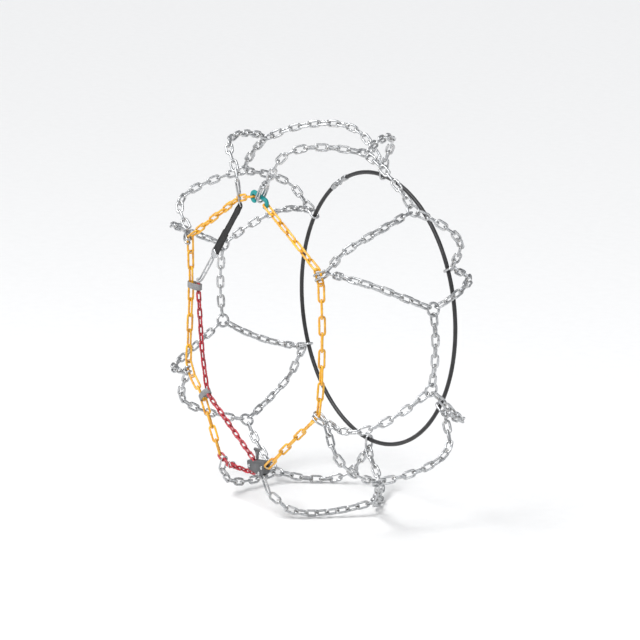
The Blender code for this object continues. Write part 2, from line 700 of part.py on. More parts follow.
def back_plate(base):
    plate = slab("tensioner_back_plate", rounded(BODY, BODY_ROUND), BACK_Y, BACK_Y + BACK_WALL)
    place(plate, "grey", base)
    axle_front = FRONT_Y + FRONT_WALL + AXLE_GAP
    axle = disc("wheel_axle", WHEEL, AXLE_R, axle_front, BACK_Y + BACK_WALL / 2, 16)
    combine(plate, axle, "UNION", base)
    for name, point in RIVETS.items():
        hole = disc(f"plate_{name}_hole", point, RIVET_HOLE_R, BACK_Y - PAST, 0)
        combine(plate, hole, "DIFFERENCE", base)
        pocket = disc(f"plate_{name}_pocket", point, TAIL_POCKET_R, BACK_Y + BACK_WALL - TAIL_POCKET, 0)
        combine(plate, pocket, "DIFFERENCE", base)


def rivet(name, point, base):
    """Head on the street side, and a tail that ends just inside the back plate's pocket."""
    front, back = FRONT_Y - RIVET_GAP, BACK_Y + BACK_WALL - TAIL_GAP
    shank = disc(name, point, RIVET_R, front - RIVET_HEAD_T / 2, back - RIVET_TAIL_T / 2, 16)
    place(shank, "zinc", base)
    combine(shank, disc(f"{name}_head", point, RIVET_HEAD_R, front - RIVET_HEAD_T, front), "UNION", base)
    combine(shank, disc(f"{name}_tail", point, RIVET_TAIL_R, back - RIVET_TAIL_T, back), "UNION", base)
    smooth(shank)


def chain_wheel(base):
    """Wheel that the tension chain runs round, with ratchet teeth on its back. It turns on its own origin."""
    ratchet = []
    pitch = math.tau / TEETH
    for tooth in range(TEETH):
        start = math.radians(TOOTH_START) + pitch * tooth
        root, tip = start + TOOTH_ROOT * pitch, start + TOOTH_TIP * pitch
        ratchet += [(VALLEY_R, start), (VALLEY_R, root), (TOOTH_R, tip)]
    outline = [(r * math.cos(a), r * math.sin(a)) for r, a in ratchet]
    layer = (RATCHET_Y - RATCHET_T / 2, RATCHET_Y + RATCHET_T / 2)
    wheel = disc("chain_wheel", (0, 0), WHEEL_R, FRONT_Y + FRONT_WALL + WHEEL_GAP, WHEEL_BACK_Y, 24)
    place(wheel, "zinc", base)
    wheel.location = (WHEEL[0], 0, WHEEL[1])
    combine(wheel, slab("ratchet_teeth", outline, *layer), "UNION", wheel)
    combine(wheel, disc("wheel_bore", (0, 0), WHEEL_BORE_R, FRONT_Y - PAST, 0), "DIFFERENCE", wheel)


def locking_pawl(base):
    """Lever on the left rivet whose nose drops into the ratchet. Its origin is on that rivet."""
    px, pz = RIVETS["left"]
    outline = [(x - px, z - pz) for x, z in PAWL_ARM]
    pawl = slab("locking_pawl", outline, *PAWL_LAYER)
    place(pawl, "zinc", base)
    pawl.location = (px, 0, pz)
    combine(pawl, disc("pawl_boss", (0, 0), PAWL_BOSS_R, *PAWL_LAYER), "UNION", pawl)
    combine(pawl, disc("pawl_bore", (0, 0), RIVET_HOLE_R, FRONT_Y - PAST, 0), "DIFFERENCE", pawl)


def pawl_spring(base):
    """Small coil spring between the cover's top wall and the pawl."""
    steps = 10
    path = []
    for i in range(SPRING_TURNS * steps + 1):
        angle = math.tau * i / steps
        height = SPRING_FOOT + (SPRING_TOP - SPRING_FOOT) * i / (SPRING_TURNS * steps)
        path.append((SPRING_X + SPRING_R * math.cos(angle), RATCHET_Y + SPRING_R * math.sin(angle), height))
    tube("pawl_spring", path, SPRING_WIRE, "zinc", parent=base)


def release_knob(base):
    """T-shaped knob that is pulled up. Its tongue goes in through the cover's top wall, above the pawl."""
    outline = [(KNOB_X + x, z) for x, z in KNOB]
    knob = slab("release_knob", outline, KNOB_Y - KNOB_T / 2, KNOB_Y + KNOB_T / 2)
    place(knob, "grey", base)
    tongue = slab("knob_tongue", box_outline(*TONGUE), RATCHET_Y - TONGUE_T / 2, RATCHET_Y + TONGUE_T / 2)
    combine(knob, tongue, "UNION", base)


clear_scene()
PARTS = new_collection("snow_chain")
CUTTERS = new_collection("cutters")

tread_rings()
outer_cross_chains()
connectors()
single_outer_arms()
inner_cross_chains()
centre_chains()
inner_hoop()
hoop_clasp()
side_chains()
tension_chain()
closing_hook()
end_hooks()
strap()
strap_hook()
guides()
tensioner()
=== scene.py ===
"""Looks of the snow chain: interlocked links, hooks, strap, guides and tensioner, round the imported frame.

Metres, in the frame's own axes: X right, Z up, the axle along Y with the street side at -Y, the origin at the
wheel's centre. Corner k sits at 90 - 60 (k - 1) degrees.
"""

import bisect
import math
import random

import bmesh
import bpy
import numpy as np
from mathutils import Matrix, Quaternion, Vector


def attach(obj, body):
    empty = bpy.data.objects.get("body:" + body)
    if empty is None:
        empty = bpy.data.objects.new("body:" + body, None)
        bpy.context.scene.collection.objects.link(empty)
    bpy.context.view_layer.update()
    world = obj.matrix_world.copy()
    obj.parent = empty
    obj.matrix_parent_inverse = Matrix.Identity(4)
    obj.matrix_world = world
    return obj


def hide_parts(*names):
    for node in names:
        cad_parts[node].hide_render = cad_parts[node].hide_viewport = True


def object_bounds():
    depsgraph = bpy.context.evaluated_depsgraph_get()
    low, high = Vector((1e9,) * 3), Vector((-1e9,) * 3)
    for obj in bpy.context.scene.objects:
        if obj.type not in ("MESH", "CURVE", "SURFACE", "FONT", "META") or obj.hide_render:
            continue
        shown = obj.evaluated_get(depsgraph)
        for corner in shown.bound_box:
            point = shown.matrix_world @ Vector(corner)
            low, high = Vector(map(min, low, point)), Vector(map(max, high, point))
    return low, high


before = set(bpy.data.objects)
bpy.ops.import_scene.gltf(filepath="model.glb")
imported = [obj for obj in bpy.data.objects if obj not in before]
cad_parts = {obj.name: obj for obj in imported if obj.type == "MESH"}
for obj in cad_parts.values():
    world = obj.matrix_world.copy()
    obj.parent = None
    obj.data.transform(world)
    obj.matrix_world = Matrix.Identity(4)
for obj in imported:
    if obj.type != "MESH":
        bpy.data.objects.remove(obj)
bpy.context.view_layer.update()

# The same places and sizes as the CAD part
CROWN_R, BEAD_R, SEAT_HALF_WIDTH, SHOULDER = 0.3225, 0.2635, 0.1165, 3.2
SIDE_R, SIDE_Y = 0.228, 0.1216
RING_R, RING_WIRE, RING_SEAT_R = 0.0105, 0.0021, 0.3205
RINGS = {
    "1a": (121.0, 0.010), "1b": (65.5, 0.004),
    "2a": (41.5, 0.027), "2b": (12.0, 0.017),
    "3a": (-11.5, 0.015), "3b": (-46.0, -0.020),
    "4a": (-65.0, 0.027), "4b": (-113.5, 0.010),
    "5a": (-135.5, 0.012), "5b": (-168.0, 0.016),
    "6a": (168.0, 0.016), "6b": (140.0, 0.012),
}
DROOP, INNER_TURN = 0.006, -4.0
LEFT_END = (-0.0430, 0.2034)
LEFT_LOBE, RIGHT_LOBE, LOBE_R = (0.0030, 0.2125), (0.0335, 0.2050), 0.0068
BOW_FOOT, BOW_HEAD = (0.0170, 0.2080), (0.0345, 0.2350)
LEFT_HOOK_FOOT, LEFT_HOOK_HEAD = (-0.0405, 0.1930), (-0.0510, 0.2345)
UPPER_GUIDE_YELLOW, UPPER_GUIDE_RED = (-0.1930, 0.0330), (-0.1706, 0.0300)
LOWER_GUIDE_YELLOW, LOWER_GUIDE_RED = (-0.1546, -0.1532), (-0.1400, -0.1440)
YELLOW_END = (-0.0996, -0.2399)
TENSION_START, TENSION_END = (-0.0850, -0.2470), (-0.1703, 0.0370)
TENSION_SAG = [(-0.0700, -0.2510), (-0.0380, -0.2505)]
TENSION_BEND = (-0.1575, -0.0780)
RIGHT_BOW = [
    (0.2002, -0.1199, 0.0770), (0.2018, -0.1188, 0.0290),
    (0.2015, -0.1190, -0.0200), (0.2007, -0.1195, -0.0690),
]
LOW_LINK_FOOT, LOW_LINK_HEAD = (-0.0850, -0.2412), (-0.0945, -0.2660)
STRAP_TOP, STRAP_END = (-0.0425, 0.1880), (-0.1235, 0.0920)
HOOK_TOP, HOOK_TIP = (-0.1251, 0.0893), (-0.1650, 0.0430)
CLASP, CLASP_HALF, CLASP_GAP = 120.0, 6.2, 0.15
HOOP_R, FERRULE_R, FERRULE_SPAN = 0.0035, 0.0048, 3.4
EYE_AT, EYE_R = 0.0045, 0.0065
CLASP_HOOK_AT, CLASP_HOOK_R, CLASP_HOOK_WIRE = -0.0009, 0.0049, 0.0015
SHANK_AT, SHANK_BEND = -0.0120, (-0.0045, -0.0010)
TENSIONER = (0.0240, -0.2355)
RIGHT_END = (TENSIONER[0] + 0.0262, -0.1245, TENSIONER[1] + 0.0062)
CHAIN_Y, FRONT_Y, WALL_END_Y, KNOB_Y, FRONT_WALL = -0.1252, -0.1301, -0.1192, -0.1202, 0.0016
WHEEL, WRAP_R, WRAP_START = (-0.0090, -0.0023), 0.0096, -98
BODY = [(-0.0284, 0.0081), (0.0257, 0.0163), (0.0235, -0.0034), (0.0127, -0.0120), (-0.0243, -0.0066)]
BODY_ROUND = 0.0034
RIVETS = {"left": (-0.0197, -0.0002), "right": (0.0182, 0.0042), "lower": (0.0103, -0.0070)}
KNOB_X = -0.0103
TENSIONER_HOOK_FOOT = (TENSIONER[0] + 0.0083, TENSIONER[1] - 0.0040)
TENSIONER_HOOK_HEAD = (0.0600, -0.2760)

# Links: pitch, wire radius, half width of the middle line
SILVER = (0.0175, 0.00195, 0.0051)
YELLOW = (0.0260, 0.00185, 0.0045)
RED = (0.0140, 0.00155, 0.0034)
HOOK_WIRE = 0.0017
# Radii of the thinner wires
LOOP_WIRE, THIN_WIRE, BAR_WIRE, RUNG_WIRE, CORD_WIRE, SEAM_WIRE, RIDGE_WIRE = (
    0.0016, 0.0014, 0.0011, 0.0010, 0.0006, 0.0005, 0.00045)
# A link's ends are a little square, and its weld stands out for a short stretch
SQUARE, WELD, WELD_HALF, WELD_END = 0.86, 1.17, 0.0006, 0.0017
# Degrees that a link tilts, that an end link turns further, and that any link may be out by. The second one
# fades over END_FADE links
TILT, END_TURN, UNEVEN, END_FADE = 45, 20, 4, 1.6
# How near a ring's middle a chain comes, and the stretch over which it comes down to the ring's height
LINK_REACH, SETTLING = RING_R - 0.0020, 0.025
BEND_REACH = 0.0045

# Details of the looks, finer than the CAD part's. HEAD is where a connector holds the two silver chains
HEAD_R, HEAD_Y = 0.2480, -0.1168
CONNECTOR_SPREAD, CONNECTOR_LEAN, REAR_GRIP, FRONT_GRIP = 0.0041, 38, 0.0038, 0.0066
CAP_R, CAP_HALF, ARM_TURN, HEAD_INSET, PATH_STEPS, ARM_POINTS = 0.0042, 0.0046, 0.55, 0.0018, 120, 160
LOBE_GRIP, CORNER_SINK, EARLY_SINK = 0.0031, 0.0030, 0.0010
INNER_HEAD_R, INNER_LOOP_HALF, INNER_LOOP_WIRE, INNER_FOOT = 0.2445, 0.0062, 0.0020, 0.0063
INNER_ARM_OUT, INNER_ARM_TURN = 0.0021, 0.15
HOOK_SECTION, HOOK_WAIST = (0.0074, 0.0050, 0.0019, 4), (0.0205, 0.2150)
LEFT_ARC, RIGHT_ARC = (-58, -222, 8), (75, -195, 7)
BOW_SPREAD, BOW_HALF, LOW_LINK_HALF = 0.0034, 0.0056, 0.0056
BOW_RING_R, BOW_RING_OUT, BOW_NARROWING, BRIDGE_PROUD, BRIDGE_BELOW = 0.0038, 0.0040, 0.75, 0.0020, 0.0012
OPEN_RING_R, OPEN_RING_WIRE, OPEN_RING_ARC = 0.0062, 0.0009, (-140, 300, 24)
STRAP_SECTION, CLIP_SECTION = (0.0158, 0.0022, 0.0009, 2), (0.0170, 0.0050, 0.0013, 3)
STRAP_STEPS, STRAP_RIBS, FOLD_START, CLIP_LENGTH, CORD_OUT, SEAM_HALF = 150, 46, 0.56, 0.0100, 0.0064, 0.0066
SEAMS, RUNGS = (0.585, 0.62, 0.93), ((0.30, 0.0035), (0.62, 0.0034))
# Bends of the strap hook's wires: from its top (0) or its tip (1), then across, below and proud of that
HOOK_BENDS = [
    (0, 0.0006, -0.0002, 0.0016), (0, 0.0024, 0.0012, 0), (0, 0.0034, 0.0080, 0), (0, 0.0035, 0.0280, 0),
    (1, 0.0032, -0.0140, 0), (1, 0.0026, -0.0050, 0.0002), (1, 0.0021, -0.0006, 0.0022),
    (1, 0.0018, -0.0010, 0.0052), (1, 0.0014, -0.0052, 0.0070),
]
GUIDE_SECTION, GUIDE_PAST, GUIDE_TALL, GUIDE_STEPS = (0.0020, 0.0104, 0.00095, 4), 0.0064, 0.0066, 72
GUIDE_SQUARE, LIP_CURL = (0.80, 0.78), 12
WRAP_STEPS, HOOP_STEPS, SLEEVE_UNEVEN = 24, 260, 0.012
FERRULE_STEPS, FERRULE_END, PRESSED_DEPTH = 24, 0.84, 0.09
COVER_POINTS, FACE_ROWS = 120, [(0.0024, 0.0), (0.0027, 0.00035)]
FILLET, COVER_RIM = 0.0019, 0.0006
WAVE_START, WAVE_STOP, WAVE_FADE, WAVE_LENGTH, WAVE_HEIGHT, WAVE_DEPTH = (
    -0.024, 0.021, 0.006, 0.0225, 0.0006, 0.0045)
RIVET_R, RIVET_TAIL_Y, RIVET_PROUD, RIVET_SIDES = 0.0015, -0.1170, 0.0002, 28
# A rivet's head as (radius, distance in front of its rim's back)
RIVET_HEAD = [
    (0.0031, 0.0), (0.0032, 0.0002), (0.0031, 0.0006), (0.0026, 0.0010), (0.0017, 0.0013),
    (0.0010, 0.00135), (0.0006, 0.0012), (0.0001, 0.00112),
]
# Each rib on the cover: its path, how deep its middle lies, and its section
RIBS = [
    ([(-0.0215, 0.0046), (-0.0120, 0.0068), (-0.0020, 0.0078), (0.0080, 0.0098), (0.0190, 0.0114)],
     0.0005, (0.0013, 0.0016, 0.0006, 3)),
    ([(-0.0190, -0.0048), (-0.0060, -0.0062), (0.0040, -0.0076)], 0.0006, (0.0011, 0.0014, 0.0005, 3)),
]
# Openings in the cover's wall, as low x, high x, low z and high z
CHAIN_SLOTS = [
    (-0.0225, 0.0045, -0.0200, -0.0050), (-0.0185, -0.0020, 0.0060, 0.0200),
    (0.0051, 0.0210, -0.0200, -0.0040), (0.0225, 0.0300, 0.0030, 0.0110),
]
WALL_SLOTS = [(KNOB_X - 0.0032, KNOB_X + 0.0032, 0.0070, 0.0200), (-0.0172, -0.0008, -0.0200, -0.0045)]
SLOT_GAP, SLOT_REACH = 0.0007, 0.0048
KNOB_STEM, KNOB_LEAN, KNOB_ROUND = 0.0185, 0.0012, 0.62
KNOB_RIDGES, FIRST_RIDGE, RIDGE_PITCH = 6, 0.0064, 0.0021
RIDGE_LINE = [(0.0256, 0.0023), (0.0272, 0.0026), (0.0287, 0.0023)]
# Rows up the knob: z, half width along X, and half width along Y
KNOB_ROWS = [
    (0.0078, 0.0024, 0.0009), (0.0122, 0.0024, 0.0009), (0.0126, 0.0030, 0.0016),
    (0.0150, 0.0029, 0.0018), (0.0185, 0.0028, 0.0018), (0.0205, 0.0034, 0.0018),
    (0.0225, 0.0044, 0.0018), (0.0245, 0.0056, 0.0019), (0.0262, 0.0067, 0.0022),
    (0.0280, 0.0072, 0.0023), (0.0291, 0.0070, 0.0021), (0.0297, 0.0063, 0.0016),
    (0.0299, 0.0048, 0.0010),
]
BAR_AT, BAR_HALF = 0.44, 0.0040
# Half widths along two wire loops, by the share of the way from foot to head
LEFT_HOOK_WIDTHS = [
    (0.0, 0.0), (0.05, 0.0017), (0.22, 0.0030), (0.45, 0.0048), (0.70, 0.0060), (0.86, 0.0058),
    (0.96, 0.0036), (1.0, 0.0),
]
TENSIONER_HOOK_WIDTHS = [
    (0.0, 0.0), (0.03, 0.0022), (0.12, 0.0034), (0.40, 0.0040), (0.62, 0.0046), (0.82, 0.0042),
    (0.95, 0.0026), (1.0, 0.0),
]
RNG = random.Random(7)

X = Vector((1, 0, 0))
Y = Vector((0, 1, 0))
Z = Vector((0, 0, 1))
STREET = -Y


def away(_):
    """Direction away from the wheel on its street side."""
    return STREET


# Camera at the photograph's angle


def make_camera():
    data = bpy.data.cameras.new("camera")
    data.sensor_width = 36.0
    data.lens = 210.85
    data.shift_x, data.shift_y = 0.00755, -0.00577
    data.clip_start, data.clip_end = 0.1, 100.0
    azimuth, elevation, roll = math.radians(56.687), math.radians(12.046), math.radians(0.535)
    distance = 6.1822
    back = Vector((math.sin(azimuth) * math.cos(elevation), -math.cos(azimuth) * math.cos(elevation),
                   math.sin(elevation)))
    camera = bpy.data.objects.new("camera", data)
    camera.location = back * distance
    camera.rotation_mode = "QUATERNION"
    camera.rotation_quaternion = (-back).to_track_quat("-Z", "Y") @ Quaternion((0, 0, 1), roll)
    bpy.context.scene.collection.objects.link(camera)
    bpy.context.scene.camera = camera


make_camera()


# Places on the wheel


def on_wheel(radius, y, degrees):
    angle = math.radians(degrees)
    return Vector((radius * math.cos(angle), y, radius * math.sin(angle)))


def street(point, y=-SIDE_Y):
    return Vector((point[0], y, point[1]))


def outward(point):
    """Direction from the axle to a point."""
    return Vector((point.x, 0, point.z)).normalized()


def round_wheel(out):
    """Direction round the wheel, where out points away from the axle."""
    return Vector((-out.z, 0, out.x))


def axes(foot, head):
    """Direction from foot to head, and the one across it in the side chain's plane."""
    along = (head - foot).normalized()
    return along, along.cross(Y).normalized()


def turns(count):
    """Angles that go once round in even steps."""
    return [math.tau * i / count for i in range(count)]


def stepped(start, turn, steps):
    """Angles in radians from a start through a turn, which are both in degrees."""
    return [math.radians(start + turn * i / steps) for i in range(steps + 1)]


def arc(centre, a, b, angles):
    """Points round a centre, where a and b are its arms at 0 and at 90 degrees."""
    return [centre + a * math.cos(angle) + b * math.sin(angle) for angle in angles]


def corner_angle(k):
    return 90 - 60 * (k - 1)


def corner(k):
    return on_wheel(SIDE_R, -SIDE_Y, corner_angle(k))


def polar(point):
    return math.hypot(*point), math.degrees(math.atan2(point[1], point[0]))


def seat_radius(y):
    part = 1 - (min(abs(y) / SEAT_HALF_WIDTH, 1)) ** SHOULDER
    return BEAD_R + (CROWN_R - BEAD_R) * part ** (1 / SHOULDER)


def seat_normal(point):
    """Direction away from the tyre at a point of a chain that lies on it."""
    radius = math.hypot(point.x, point.z)
    out = max(radius - BEAD_R, 0) / (CROWN_R - BEAD_R)
    side = min(abs(point.y) / SEAT_HALF_WIDTH, 1)
    radial = out ** (SHOULDER - 1) / (CROWN_R - BEAD_R)
    sideways = side ** (SHOULDER - 1) / SEAT_HALF_WIDTH * math.copysign(1, point.y)
    return (outward(point) * radial + Y * sideways).normalized()


def meridian(y_end, side):
    """The tyre's section as (radius, y), from its bead on one side (-1 street, 1 car) up to y_end."""
    points = []
    for angle in stepped(90, -180, 90):
        sine = math.sin(angle)
        y = SEAT_HALF_WIDTH * math.copysign(abs(sine) ** (2 / SHOULDER), sine)
        points.append((seat_radius(y), y * side))
    kept = [p for p in points if p[1] * side > y_end * side]
    return kept + [(seat_radius(y_end), y_end)]


def resampled(points, count):
    """The same path with evenly spaced points."""
    points = [tuple(p) for p in points]
    lengths = [0.0]
    for a, b in zip(points, points[1:]):
        lengths.append(lengths[-1] + math.dist(a, b))
    result = []
    for i in range(count):
        wanted = lengths[-1] * i / (count - 1)
        j = min(max(1, bisect.bisect_left(lengths, wanted - 1e-9)), len(lengths) - 1)
        share = (wanted - lengths[j - 1]) / (lengths[j] - lengths[j - 1])
        result.append(tuple(a + (b - a) * share for a, b in zip(points[j - 1], points[j])))
    return result


def length_of(points):
    return sum(math.dist(a, b) for a, b in zip(points, points[1:]))


def arm_path(start, ring, side):
    """Path of a chain from a start (radius, y, degrees) on the sidewall into a tread ring."""
    radius, y, degrees = start
    ring_degrees, ring_y = RINGS[ring]
    ring_degrees += 360 * round((degrees - ring_degrees) / 360)
    seat = [p for p in meridian(ring_y, side) if p[0] > radius + 0.002 or abs(p[1]) < 0.1]
    section = resampled([(radius, y)] + seat, ARM_POINTS)
    points = []
    for i, (r, yy) in enumerate(section):
        share = i / (len(section) - 1)
        angle = degrees + (ring_degrees - degrees) * share
        angle -= math.degrees(DROOP * math.cos(math.radians(angle)) * math.sin(math.pi * share) / r)
        points.append(on_wheel(r, yy, angle))
    return into_ring(points, on_wheel(CROWN_R, ring_y, ring_degrees))


def into_ring(points, centre):
    """Ends a path inside the ring, coming down to the ring's own height over its last stretch."""
    points = [p for p in points if (p - centre).length > LINK_REACH + 0.001]
    heading = (points[-1] - centre).normalized()
    points.append(centre + heading * LINK_REACH)
    down = outward(centre) * (RING_SEAT_R - CROWN_R)
    result = []
    for p in points:
        near = 1 - min(max(((p - centre).length - LINK_REACH) / SETTLING, 0), 1)
        result.append(p + down * near)
    return result


# Mesh building


class Shape:
    """Vertices and faces of one piece, with how worn each point is and the tone of the link it belongs to."""

    def __init__(self):
        self.verts, self.faces, self.wear, self.tone = [], [], [], []

    def add(self, verts, faces, wear=None, tone=0.5):
        first = len(self.verts)
        self.verts += [tuple(v) for v in verts]
        self.faces += [tuple(first + i for i in face) for face in faces]
        self.wear += list(wear) if wear is not None else [0.0] * len(verts)
        self.tone += [tone] * len(verts)


def grid_faces(rows, across, closed):
    """Faces round a tube of rows of points, where a closed one joins its last row to its first."""
    faces = []
    for j in range(rows if closed else rows - 1):
        here, there = j * across, (j + 1) % rows * across
        for a in range(across):
            b = (a + 1) % across
            faces.append((here + a, here + b, there + b, there + a))
    return faces


def tube_faces(rows, across, step=1):
    """Faces of a tube that is closed with a face at each end. A step of -1 turns those two over."""
    total = rows * across
    ends = [tuple(range(across))[::-step], tuple(range(total - across, total))[::step]]
    return grid_faces(rows, across, False) + ends


def frames_along(points, closed, up=None):
    """(side, up) at each point. With no up direction the frame is carried along without twisting."""
    count = len(points)
    result = []
    side = None
    for i, here in enumerate(points):
        before = points[i - 1] if closed or i else here
        after = points[(i + 1) % count] if closed or i < count - 1 else here
        tangent = (after - before).normalized()
        if up is not None:
            side = tangent.cross(up).normalized()
        elif side is None:
            side = tangent.cross(Y if abs(tangent.y) < 0.9 else X).normalized()
        else:
            side = (side - tangent * side.dot(tangent)).normalized()
        result.append((side, side.cross(tangent).normalized()))
    return result


def sweep(shape, points, section, closed=False, up=None, scales=None, tone=0.5):
    """A section of (side, up) points carried along a path. Open ends are closed with a face."""
    frames = frames_along(points, closed, up)
    verts = []
    for i, (here, (side, over)) in enumerate(zip(points, frames)):
        wide, tall = scales[i] if scales else (1, 1)
        verts += [here + side * a * wide + over * b * tall for a, b in section]
    rows, across = len(points), len(section)
    shape.add(verts, grid_faces(rows, across, True) if closed else tube_faces(rows, across), tone=tone)


def circle(radius, sides=10):
    return [(radius * math.cos(angle), radius * math.sin(angle)) for angle in turns(sides)]


def rounded_box(width, height, corner_r, steps):
    """Section of a flat bar, centred, with round corners."""
    result = []
    for cx, cz, start in ((1, 1, 0), (-1, 1, 90), (-1, -1, 180), (1, -1, 270)):
        x, z = cx * (width / 2 - corner_r), cz * (height / 2 - corner_r)
        for angle in stepped(start, 90, steps):
            result.append((x + corner_r * math.cos(angle), z + corner_r * math.sin(angle)))
    return result


def curve_through(points, per=8, closed=False):
    """Catmull-Rom curve through the points."""
    points = [Vector(p) for p in points]
    count = len(points)
    result = []
    for i in range(count if closed else count - 1):
        p1, p2 = points[i], points[(i + 1) % count]
        p0 = points[i - 1] if closed or i else p1 * 2 - p2
        p3 = points[(i + 2) % count] if closed or i < count - 2 else p2 * 2 - p1
        for step in range(per):
            t = step / per
            result.append(0.5 * (2 * p1 + (p2 - p0) * t + (2 * p0 - 5 * p1 + 4 * p2 - p3) * t * t
                                 + (3 * p1 - p0 - 3 * p2 + p3) * t ** 3))
    return result if closed else result + [points[-1]]


def wire(shape, points, radius, closed=False, sides=10, tone=0.5):
    """A round wire with round ends along a smooth path."""
    points = [Vector(p) for p in points]
    if closed:
        sweep(shape, points, circle(radius, sides), closed=True, tone=tone)
        return
    first = (points[0] - points[1]).normalized() * radius
    last = (points[-1] - points[-2]).normalized() * radius
    angles = stepped(5, 60, 2)
    path = [points[0] + first * math.cos(angle) for angle in angles] + points
    path += [points[-1] + last * math.cos(angle) for angle in reversed(angles)]
    tip = [(math.sin(angle), math.sin(angle)) for angle in angles]
    scales = tip + [(1, 1)] * len(points) + tip[::-1]
    sweep(shape, path, circle(radius, sides), scales=scales, tone=tone)


def crossbar(shape, centre, across, half, radius, tone=0.5):
    """Short straight wire across a loop."""
    wire(shape, [centre + across * half * t for t in (-1, -0.5, 0, 0.5, 1)], radius, sides=8, tone=tone)


def oval(foot, head, across, half):
    """Closed middle line of a long link from foot to head."""
    across, along = across.normalized() * half, (head - foot).normalized() * half
    points = arc(head - along, across, along, stepped(0, 180, 10))
    points += arc(foot + along, across, along, stepped(180, 180, 10))
    return curve_through(points, per=2, closed=True)


def spindle(foot, head, across, widths):
    """Closed middle line from foot to head and back. widths holds (share of the way, half width there)."""
    points = [foot.lerp(head, share) + across * width for share, width in widths]
    points += [foot.lerp(head, share) - across * width for share, width in widths[-2:0:-1]]
    return curve_through(points, per=6, closed=True)


def piece(name, shape, body, material, replaced=(), flat=False):
    """Makes the mesh object, which rides on a body and stands for the CAD nodes named."""
    mesh = bpy.data.meshes.new(name)
    mesh.from_pydata(shape.verts, [], shape.faces)
    for label, values in (("wear", shape.wear), ("tone", shape.tone)):
        mesh.attributes.new(label, "FLOAT", "POINT").data.foreach_set("value", values)
    bm = bmesh.new()
    bm.from_mesh(mesh)
    bmesh.ops.recalc_face_normals(bm, faces=bm.faces)
    bm.to_mesh(mesh)
    bm.free()
    mesh.shade_smooth()
    if flat:
        mesh.set_sharp_from_angle(angle=math.radians(flat))
    mesh.materials.append(material)
    obj = bpy.data.objects.new(name, mesh)
    bpy.context.scene.collection.objects.link(obj)
    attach(obj, body)
    if replaced:
        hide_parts(*replaced)
    return obj


# Links


def link(shape, start, end, across, kind, sides=8):
    """One welded link from joint to joint. Its ends reach past the joints, round the next links' wire."""
    _, radius, half_width = kind
    middle = (start + end) / 2
    along = (end - start).normalized()
    across = (across - along * across.dot(along)).normalized()
    reach = (end - start).length / 2 + radius
    rows = []
    for turn in (0, 180):
        for angle in stepped(turn - 90, 180, 8):
            c, s = math.cos(angle), math.sin(angle)
            c = math.copysign(abs(c) ** SQUARE, c)
            s = math.copysign(abs(s) ** SQUARE, s)
            shift = (reach - half_width) * (1 if turn == 0 else -1)
            rows.append((shift + half_width * c, half_width * s, 1.0))
        if turn == 0:
            weld = ((WELD_END, 1.0), (WELD_HALF, WELD), (-WELD_HALF, WELD), (-WELD_END, 1.0))
            rows += [(place, half_width, size) for place, size in weld]
        else:
            rows.append((0.0, -half_width, 0.97))
    flat = np.array([(u, v) for u, v, _ in rows])
    tangent = np.roll(flat, -1, 0) - np.roll(flat, 1, 0)
    tangent /= np.linalg.norm(tangent, axis=1)[:, None]
    outwards = np.stack([tangent[:, 1], -tangent[:, 0]], 1)
    angles = np.arange(sides) * math.tau / sides
    sizes = radius * np.array([s for _, _, s in rows])
    swing = (sizes[:, None] * np.cos(angles)[None, :])[:, :, None]
    in_plane = flat[:, None, :] + outwards[:, None, :] * swing
    off_plane = sizes[:, None] * np.sin(angles)[None, :]
    a, b = np.array(along), np.array(across)
    n = np.cross(a, b)
    verts = (np.array(middle) + in_plane[:, :, :1] * a + in_plane[:, :, 1:] * b + off_plane[:, :, None] * n)
    at_end = np.clip((np.abs(flat[:, 0]) - reach + half_width * 1.1) / (half_width * 0.9), 0, 1)
    wear = at_end[:, None] * np.clip(0.25 - np.cos(angles)[None, :], 0, 1)
    verts = verts.reshape(-1, 3)
    shape.add(verts.tolist(), grid_faces(len(rows), sides, True), wear.reshape(-1).tolist(), RNG.random())


def run(shape, path, kind, normal, ends=(1, 1), first=1, sides=8, twist=(0, 0), stout=0):
    """Links along a path, each turned a quarter turn from the last. normal(point) points away from the tyre.
    ends says whether the first and last links stand upright (1), lie flat (-1) or keep the tilt (0).
    twist turns the whole run, by degrees at its start and at its end. The first stout links are thicker."""
    path = [Vector(p) for p in path]
    count = max(1, round(length_of(path) / kind[0]))
    joints = [Vector(p) for p in resampled(path, count + 1)]
    signs = [first if i % 2 == 0 else -first for i in range(count)]
    for i in range(count):
        a, b = joints[i], joints[i + 1]
        along = (b - a).normalized()
        up = normal((a + b) / 2)
        side = along.cross(up).normalized()
        over = side.cross(along).normalized()
        extra = ends[0] * signs[0] * END_TURN * math.exp(-i / END_FADE)
        extra += ends[1] * signs[-1] * END_TURN * math.exp(-(count - 1 - i) / END_FADE)
        share = (i + 0.5) / count
        extra += twist[0] + (twist[1] - twist[0]) * share
        angle = math.radians(TILT * signs[i] + extra + RNG.uniform(-UNEVEN, UNEVEN))
        size = (kind[0], kind[1] * 1.2, kind[2] * 1.2) if i < stout else kind
        link(shape, a, b, side * math.cos(angle) + over * math.sin(angle), size, sides)
    return signs[-1]


def smoothed(points):
    """A path with two points at each bend."""
    result = [points[0]]
    for before, here, after in zip(points, points[1:], points[2:]):
        result += [here + (end - here).normalized() * BEND_REACH for end in (before, after)]
    return result + [points[-1]]


# Materials


